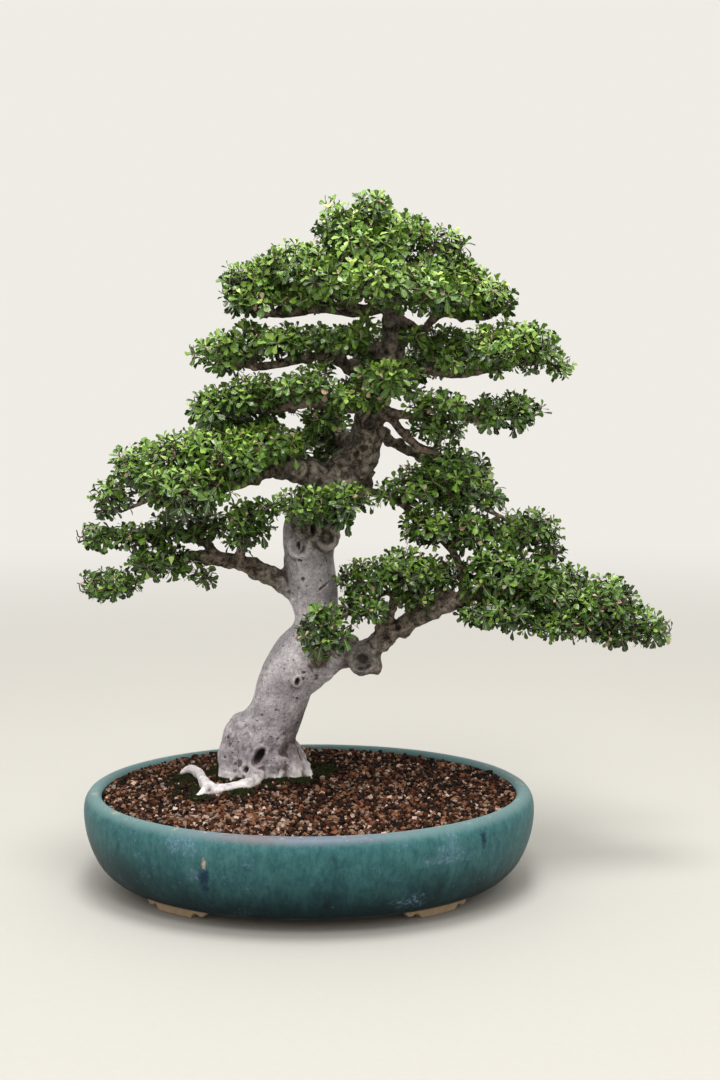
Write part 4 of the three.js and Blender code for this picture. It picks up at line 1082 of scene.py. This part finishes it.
def leaves_of(rosettes, random):
    """Every leaf of the given rosettes: base, direction, facing, length, tone with its painted light and
    shade, dryness.
    """
    rows = []
    for _, point, axis, layer, up in rosettes:
        sideways = unit(np.cross(axis, random.normal(size=3)))
        forward = np.cross(axis, sideways)
        leaves = LAYERS[layer]["leaves"] + random.integers(0, 2)
        young = 2 if layer != "inner" and random.random() < 0.8 else 1
        turn = random.uniform(0, 2 * np.pi)
        vigour = random.uniform(0.78, 1.12)
        mood_and_painted_light = random.normal() * 0.11 + 0.22 * noise.noise(Vector(point / 40.0))
        # Painted light and shade: rosettes high up are lighter and low ones darker, and the low front pad
        # near the key light is darkened.
        mood_and_painted_light += 0.11 * np.clip((point[2] - 470) / 160, -1.0, 0.8)
        mood_and_painted_light -= 0.14 * math.exp(-((point[0] - 17) ** 2 + (point[2] - 292) ** 2) / 1500)
        tip_tone = random.uniform(0.62, 0.95) if random.random() < 0.36 else random.uniform(0.42, 0.68)
        for k in range(leaves + young):
            share = k / (leaves + young - 1)
            tilt = LEAF["tilt"] - LEAF["steeper"] * share**1.25 + random.normal() * 13
            tilt = math.radians(tilt)
            turn += GOLDEN_ANGLE + random.normal() * 0.16
            out = sideways * math.cos(turn) + forward * math.sin(turn)
            way = unit(axis * math.cos(tilt) + out * math.sin(tilt) + np.array([0, 0, -0.10]))
            face = axis - way * axis.dot(way)
            if np.linalg.norm(face) < 0.15:
                face = out - way * out.dot(way)
            face = unit(face + random.normal(size=3) * 0.16)
            length = (LEAF["length"] - LEAF["shorter"] * share**1.6) * vigour
            length *= random.uniform(0.82, 1.12)
            base = point + axis * (-4.6 + 7.0 * share) + out * 0.4
            # Painted light and shade: leaves on a pad's top are lighter and on its underside darker, the
            # lowest leaves of a rosette are darker, and inner leaves much darker.
            tone = 0.45 + mood_and_painted_light + 0.22 * up - 0.10 * (1 - share) + random.normal() * 0.10
            if layer == "inner":
                tone -= 0.30
            if k >= leaves:
                tone = tip_tone + random.normal() * 0.05
            dry = 1.0 if random.random() < DRY_SHARE else 0.0
            if not dry and random.random() < BROWNING_SHARE:
                dry = 0.45
            length *= 1 - 0.35 * dry
            rows.append((*base, *way, *face, length, np.clip(tone, 0, 1), dry))
    return np.array(rows)


def leaf_mesh(rows, random):
    """The leaves' points, triangles, surface places, tones and dryness, as arrays."""
    low, high = (np.array(CAD_LO) - ORIGIN) / MM, (np.array(CAD_HI) - ORIGIN) / MM
    parts, start = [], 0
    kinds = random.integers(0, len(LEAVES), len(rows))
    for kind, (shape, triangles, uv) in enumerate(LEAVES):
        chosen = rows[kinds == kind]
        base, way, face, length = chosen[:, :3], unit(chosen[:, 3:6]), chosen[:, 6:9], chosen[:, 9]
        face = unit(face - way * (face * way).sum(axis=1, keepdims=True))
        side = np.cross(way, face)
        across, along, outward = shape.T[:, None, :, None]
        points = base[:, None] + length[:, None, None] * (
            across * side[:, None] + along * way[:, None] + outward * face[:, None])
        fits = ((points > low + 0.6) & (points < high - 0.6)).all(axis=(1, 2))
        points, chosen = points[fits], chosen[fits]
        count, size = len(points), len(shape)
        index = start + np.arange(count)[:, None, None] * size + triangles[None]
        parts.append((points.reshape(-1, 3), index.reshape(-1, 3), np.tile(uv, (count, 1)),
                      np.repeat(chosen[:, 10], size), np.repeat(chosen[:, 11], size)))
        start += count * size
    return [np.concatenate([part[i] for part in parts]) for i in range(5)]


def foliage_pieces(leaf_material, bark_material):
    random = np.random.default_rng(LEAF_SEED)
    rosettes = rosette_places(random)
    shoots = grow_shoots(rosettes, random)
    for name in PADS:
        own = [rosette for rosette in rosettes if rosette[0] == name]
        points, triangles, uv, tone, dry = leaf_mesh(leaves_of(own, random), random)
        piece = mesh_piece(f"leaves_{name}", points, triangles, leaf_material)
        give(piece, "tone", tone)
        give(piece, "dry", dry)
        layer = piece.data.uv_layers.new(name="leaf")
        layer.data.foreach_set("uv", uv[triangles.ravel()].astype(np.float32).ravel())
        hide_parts(f"foliage_{name}")
        twigs = mesh_piece(f"shoots_{name}", *joined(shoots[name]), bark_material)
        give(twigs, "thinness", np.full(len(twigs.data.vertices), 1.0))
        give(twigs, "hollow_shade", np.zeros(len(twigs.data.vertices)))


# Pot and soil
def oval(radius, turn, z):
    outer = np.maximum(radius, SQUEEZE_FROM)
    squeeze = (outer - AXIS_DIFFERENCE) / outer
    return np.stack(np.broadcast_arrays(radius * np.cos(turn), radius * squeeze * np.sin(turn), z), -1)


def lathe(profile, segments):
    """Rings of points round the oval and the faces of the closed form that they make."""
    turn = np.arange(segments) * 2 * np.pi / segments
    rings = np.array([oval(radius, turn, z) for radius, z in profile])
    return rings.reshape(-1, 3), ring_faces(len(profile), segments, closed=True)


def eased(profile):
    """The profile as a smooth curve."""
    return smooth_path([[radius, z, 0, 1] for radius, z in profile], 5)[:, :2]


def foot(sign):
    """A bracket foot: a lobe that stands on the floor between two thinner scalloped arms."""
    share = np.linspace(-1, 1, 61)
    reach = np.abs(share)
    lobe_end, rounding, arm_height = 0.70, 0.14, 5.4
    curve = np.sqrt(np.clip(1 - ((lobe_end - reach) / rounding) ** 2, 0, 1))
    lobe = np.where(reach < lobe_end - rounding, 0.0, arm_height * curve)
    scallop = 2.4 * np.sin(np.clip((reach - lobe_end) / (1 - lobe_end), 0, 1) * np.pi)
    tip = 4.2 * np.clip((reach - 1 + rounding) / rounding, 0, 1) ** 2
    under = np.where(reach < lobe_end, lobe, arm_height - scallop + tip)
    turn = np.radians(FOOT["middle"] + share * FOOT["spread"])
    top, bevel, inner = FOOT["top"], FOOT["bevel"], -FOOT["thickness"]
    section = [(0, top, 0), (0, 0, bevel), (-bevel, 0, 0), (inner + bevel, 0, 0), (inner, 0, bevel),
               (inner, top, 0)]
    points = []
    for angle, low in zip(turn, under):
        for inward, height, lift in section:
            radius = FOOT["radius"] + inward
            points.append([sign[0] * radius * math.cos(angle),
                           sign[1] * (radius - AXIS_DIFFERENCE) * math.sin(angle), height or low + lift])
    faces = ring_faces(len(share), len(section), closed=True)
    if sign[0] * sign[1] > 0:
        faces = [face[::-1] for face in faces]
    return np.array(points), faces


def drilled(points, faces):
    """The pot's body with its drain holes: its points in millimetres and its faces."""
    body = mesh_object("pot_body", points * MM, faces)
    for side in (-1, 1):
        hole = np.array([[side * DRAIN["offset"], 0, z, DRAIN["radius"]] for z in (2, 30)], float)
        hole_points, hole_faces = tube(hole, 40)
        cutter = mesh_object("hole", hole_points * MM, hole_faces)
        cut = body.modifiers.new("drain", "BOOLEAN")
        cut.operation, cut.solver, cut.object = "DIFFERENCE", "EXACT", cutter
        made = with_modifiers(body)
        body.modifiers.clear()
        body.data = made
        bpy.data.objects.remove(cutter)
    points = rows_of(body.data.vertices, "co", 3) / MM
    faces = [list(polygon.vertices) for polygon in body.data.polygons]
    bpy.data.objects.remove(body)
    return points, faces


def pot_piece(material):
    profile = np.vstack([eased(POT_OUTSIDE), eased(POT_INSIDE)[1:]])
    profile[0, 0] = profile[-1, 0] = 0.5
    points, faces = lathe(profile, POT_SEGMENTS)
    wall = (points[:, 2] > 12) & (np.hypot(points[:, 0], points[:, 1]) > 150)
    points[:, :2] *= (1 + np.where(wall, noise_at(points, 70, 5) * 0.0016, 0))[:, None]
    feet = [foot(sign) for sign in ((1, 1), (1, -1), (-1, 1), (-1, -1))]
    points, faces = joined([drilled(points, faces), *feet])
    piece = mesh_piece("glazed_pot", points, faces, material, sharp=38)
    wall = np.interp(points[:, 2], *np.array(POT_OUTSIDE[4:10])[:, ::-1].T) - 6
    within = (points[:, 0] / wall) ** 2 + (points[:, 1] / (wall - AXIS_DIFFERENCE)) ** 2 < 1
    give(piece, "unglazed", within & (points[:, 2] < 93))
    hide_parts("pot")


def soil_height(x, y):
    away = (x - SOIL["trunk"][0]) ** 2 + (y * 0.9 - SOIL["trunk"][1]) ** 2
    return SOIL["edge"] + SOIL["mound"] * np.exp(-away / (2 * SOIL["reach"] ** 2))


def soil_bed(material):
    """The soil that fills the pot, below the loose grains."""
    top = [(229 * share + 0.5, SOIL_TOP) for share in np.linspace(1, 0, SOIL_RINGS)[1:]]
    points, faces = lathe(SOIL_SIDE + top, SOIL_SEGMENTS)
    upper = points[:, 2] >= SOIL_TOP
    lift = soil_height(points[:, 0], points[:, 1]) - SOIL["edge"] + noise_at(points, 9, 8) * 1.1
    points[upper, 2] += lift[upper]
    piece = mesh_piece("soil_bed", points, faces, material)
    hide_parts("soil")


def grain_spots(random):
    """Staggered rows of places across the soil, each moved a little."""
    rows = []
    for row in range(int(400 / (GRAIN_STEP * ROW_GAP)) + 1):
        for column in range(int(480 / GRAIN_STEP) + 1):
            x = -240 + column * GRAIN_STEP + (row % 2) * GRAIN_STEP / 2
            rows.append([x, -190 + row * GRAIN_STEP * ROW_GAP])
    spots = np.array(rows) + random.uniform(-1.4, 1.4, (len(rows), 2))
    limit = np.hypot(spots[:, 0] / SOIL["wall"], spots[:, 1] / (SOIL["wall"] - AXIS_DIFFERENCE))
    return spots[limit < 0.992]


def soil_grit(material, trunk, random):
    """Loose grains, larger and paler in front of the trunk and darker by the moss."""
    spots = grain_spots(random)
    cube = np.array([[x, y, z] for x in (-1, 1) for y in (-1, 1) for z in (-1, 1)], float)
    sides = [[0, 1, 3, 2], [4, 6, 7, 5], [0, 4, 5, 1], [2, 3, 7, 6], [0, 2, 6, 4], [1, 5, 7, 3]]
    grains, kinds, faces = [], [], []
    patches = noise_at(np.column_stack([spots, np.zeros(len(spots))]), 55, 9)
    for (x, y), patch in zip(spots, patches):
        in_front = math.exp(-((x - PALE_GRIT[0]) ** 2 / 4000 + (y - PALE_GRIT[1]) ** 2 / 1600))
        size = 1.4 + 1.4 * random.random() ** 1.7 + (1.0 if random.random() < 0.05 else 0)
        size *= 1 + 0.25 * in_front
        z = soil_height(x, y) + random.uniform(-2.0, 1.1) + size * 0.1
        hit, normal, _, _ = trunk.find_nearest(Vector((x, y, z)))
        if (Vector((x, y, z)) - hit).dot(normal) < size * 0.3:
            continue
        corner = cube * random.uniform(0.52, 1.0, (8, 3)) * size * random.uniform(0.75, 1.2, 3)
        turn = np.array(Matrix.Rotation(random.uniform(0, 6.3), 3, Vector(random.normal(size=3))))
        start = len(grains) * 8
        grains.append(corner @ turn.T + [x, y, z])
        faces.extend([[start + i for i in side] for side in sides])
        dry = 0.5 * max(0, -y / 170) + 0.25 * patch - 0.4 * max(0, x / 230) + 0.7 * in_front
        shade = max(math.exp(-((x - a) ** 2 + (y - b) ** 2) / 260) for a, b in MOSS)
        kind = np.clip(random.beta(1.1, 1.5) * 0.95 + 0.13 * dry, 0, 0.82) * (1 - 0.75 * shade)
        if random.random() < (0.08 + 0.09 * max(0, dry)) * (1 - shade):
            kind = random.uniform(0.85, 1.0)
        kinds.append(kind)
    piece = mesh_piece("soil_grit", np.concatenate(grains), faces, material, flat=True)
    give(piece, "kind", np.repeat(kinds, 8))


def moss_spot(random):
    """A place for a tuft: in a patch of moss, round the trunk's foot or at the left."""
    if random.random() < 0.45:
        return np.array(MOSS[random.integers(len(MOSS))]) + random.normal(size=2) * [8, 6]
    if random.random() < 0.8:
        turn, reach = random.uniform(0, 2 * np.pi), abs(random.normal()) * 9
        return (SOIL["trunk"][0] - 2 + (46 + reach) * math.cos(turn),
                SOIL["trunk"][1] - 2 + (44 + reach) * math.sin(turn))
    return random.normal(-128, 17), random.normal(30, 34)


def moss_tufts(material, trunk, random):
    """Tufts of five pointed blades, on the soil near the wood."""
    points, tones, faces = [], [], []
    for _ in range(MOSS_TRIES):
        x, y = moss_spot(random)
        spot = Vector((x, y, soil_height(x, y)))
        hit, normal, _, _ = trunk.find_nearest(spot)
        gap = (spot - hit).dot(normal)
        if gap < 0.3 or noise.noise(spot / 13.0) < (-0.15 if gap < 9 else 0.0) or gap > 30:
            continue
        hub = np.array([x, y, soil_height(x, y) + 1.1])
        for _ in range(5):
            base = hub + np.append(random.normal(size=2) * 1.3, 0)
            lean = unit(np.array([*random.normal(size=2) * 0.5, 1.0]))
            wide = random.uniform(0.6, 1.1)
            tip = base + lean * random.uniform(2.0, 4.0)
            turn = random.uniform(0, 2.1)
            a, b, c, top = range(len(points), len(points) + 4)
            for angle in (turn, turn + 2.094, turn + 2 * 2.094):
                points.append(base + [wide * math.cos(angle), wide * math.sin(angle), 0])
            points.append(tip)
            faces += [[a, b, top], [b, c, top], [c, a, top], [c, b, a]]
            tones += [random.uniform(0, 0.4)] * 3 + [random.uniform(0.4, 1.0)]
    piece = mesh_piece("moss_tufts", np.array(points), faces, material, flat=True)
    give(piece, "tone", tones)


def soil_pieces(grit, bed, moss, wood_points, wood_faces):
    random = np.random.default_rng(SOIL_SEED)
    trunk = BVHTree.FromPolygons([Vector(p) for p in wood_points], wood_faces.tolist())
    soil_bed(bed)
    soil_grit(grit, trunk, random)
    moss_tufts(moss, trunk, random)


# The photograph's view, in soft studio light
def add_camera():
    data = bpy.data.cameras.new("camera")
    data.sensor_width = 36
    data.lens = data.sensor_width * PHOTO["focal"] / PHOTO["height"]
    camera = bpy.data.objects.new("camera", data)
    camera.location = place(VIEWER)
    tilt = math.atan2(PHOTO["horizon"], PHOTO["focal"])
    camera.rotation_euler = (math.radians(90) - tilt, 0, 0)
    bpy.context.scene.collection.objects.link(camera)
    bpy.context.scene.camera = camera


def add_light(name, spot, aim, size, power, colour):
    data = bpy.data.lights.new(name, "AREA")
    data.shape, data.size, data.energy, data.color = "DISK", size, power, colour
    light = bpy.data.objects.new(name, data)
    light.location = spot
    light.rotation_euler = (Vector(aim) - Vector(spot)).to_track_quat("-Z", "Y").to_euler()
    bpy.context.scene.collection.objects.link(light)


def add_floor():
    turn = np.arange(FLOOR_SIDES) * 2 * np.pi / FLOOR_SIDES
    circle = np.column_stack([np.cos(turn), np.sin(turn), np.zeros(FLOOR_SIDES)])
    points = np.vstack([radius * circle for radius in FLOOR_RINGS])
    around = ring_faces(len(FLOOR_RINGS), FLOOR_SIDES)
    faces = [list(range(FLOOR_SIDES))] + [face[::-1] for face in around]
    floor = mesh_object("floor", points, faces)
    floor.data.materials.append(floor_paint())


def add_world():
    """A pale background that is brighter overhead."""
    world = bpy.data.worlds.new("studio")
    bpy.context.scene.world = world
    world.use_nodes = True
    nodes, links = world.node_tree.nodes, world.node_tree.links
    sky = nodes["Background"]
    sky.inputs["Color"].default_value = (*STUDIO, 1)
    up = nodes.new("ShaderNodeSeparateXYZ")
    links.new(nodes.new("ShaderNodeTexCoord").outputs["Generated"], up.inputs[0])
    brighter = nodes.new("ShaderNodeMapRange")
    brighter.interpolation_type = "SMOOTHSTEP"
    for socket, value in zip(list(brighter.inputs)[1:5], (0.25, 0.95, STUDIO_STRENGTH, OVERHEAD_STRENGTH)):
        socket.default_value = value
    links.new(up.outputs["Z"], brighter.inputs["Value"])
    links.new(brighter.outputs["Result"], sky.inputs["Strength"])


bark, leaf, glaze, screen = bark_paint(), leaf_paint(), glaze_paint(), mesh_paint()
grit = grit_paint()
wood_points, wood_faces = wood_piece(bark)
foliage_pieces(leaf, bark)
pot_piece(glaze)
soil_pieces(grit, bed_paint(), moss_paint(), wood_points, wood_faces)
finishes = {"pot": glaze, "trunk_and_branches": bark, "soil": grit,
            "drain_screen_left": screen, "drain_screen_right": screen}
for name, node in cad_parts.items():
    node.data.materials.clear()
    node.data.materials.append(finishes.get(name, leaf))
add_camera()
add_floor()
add_world()
for light in LIGHTS:
    add_light(*light)
bpy.context.scene.view_settings.view_transform = "Standard"
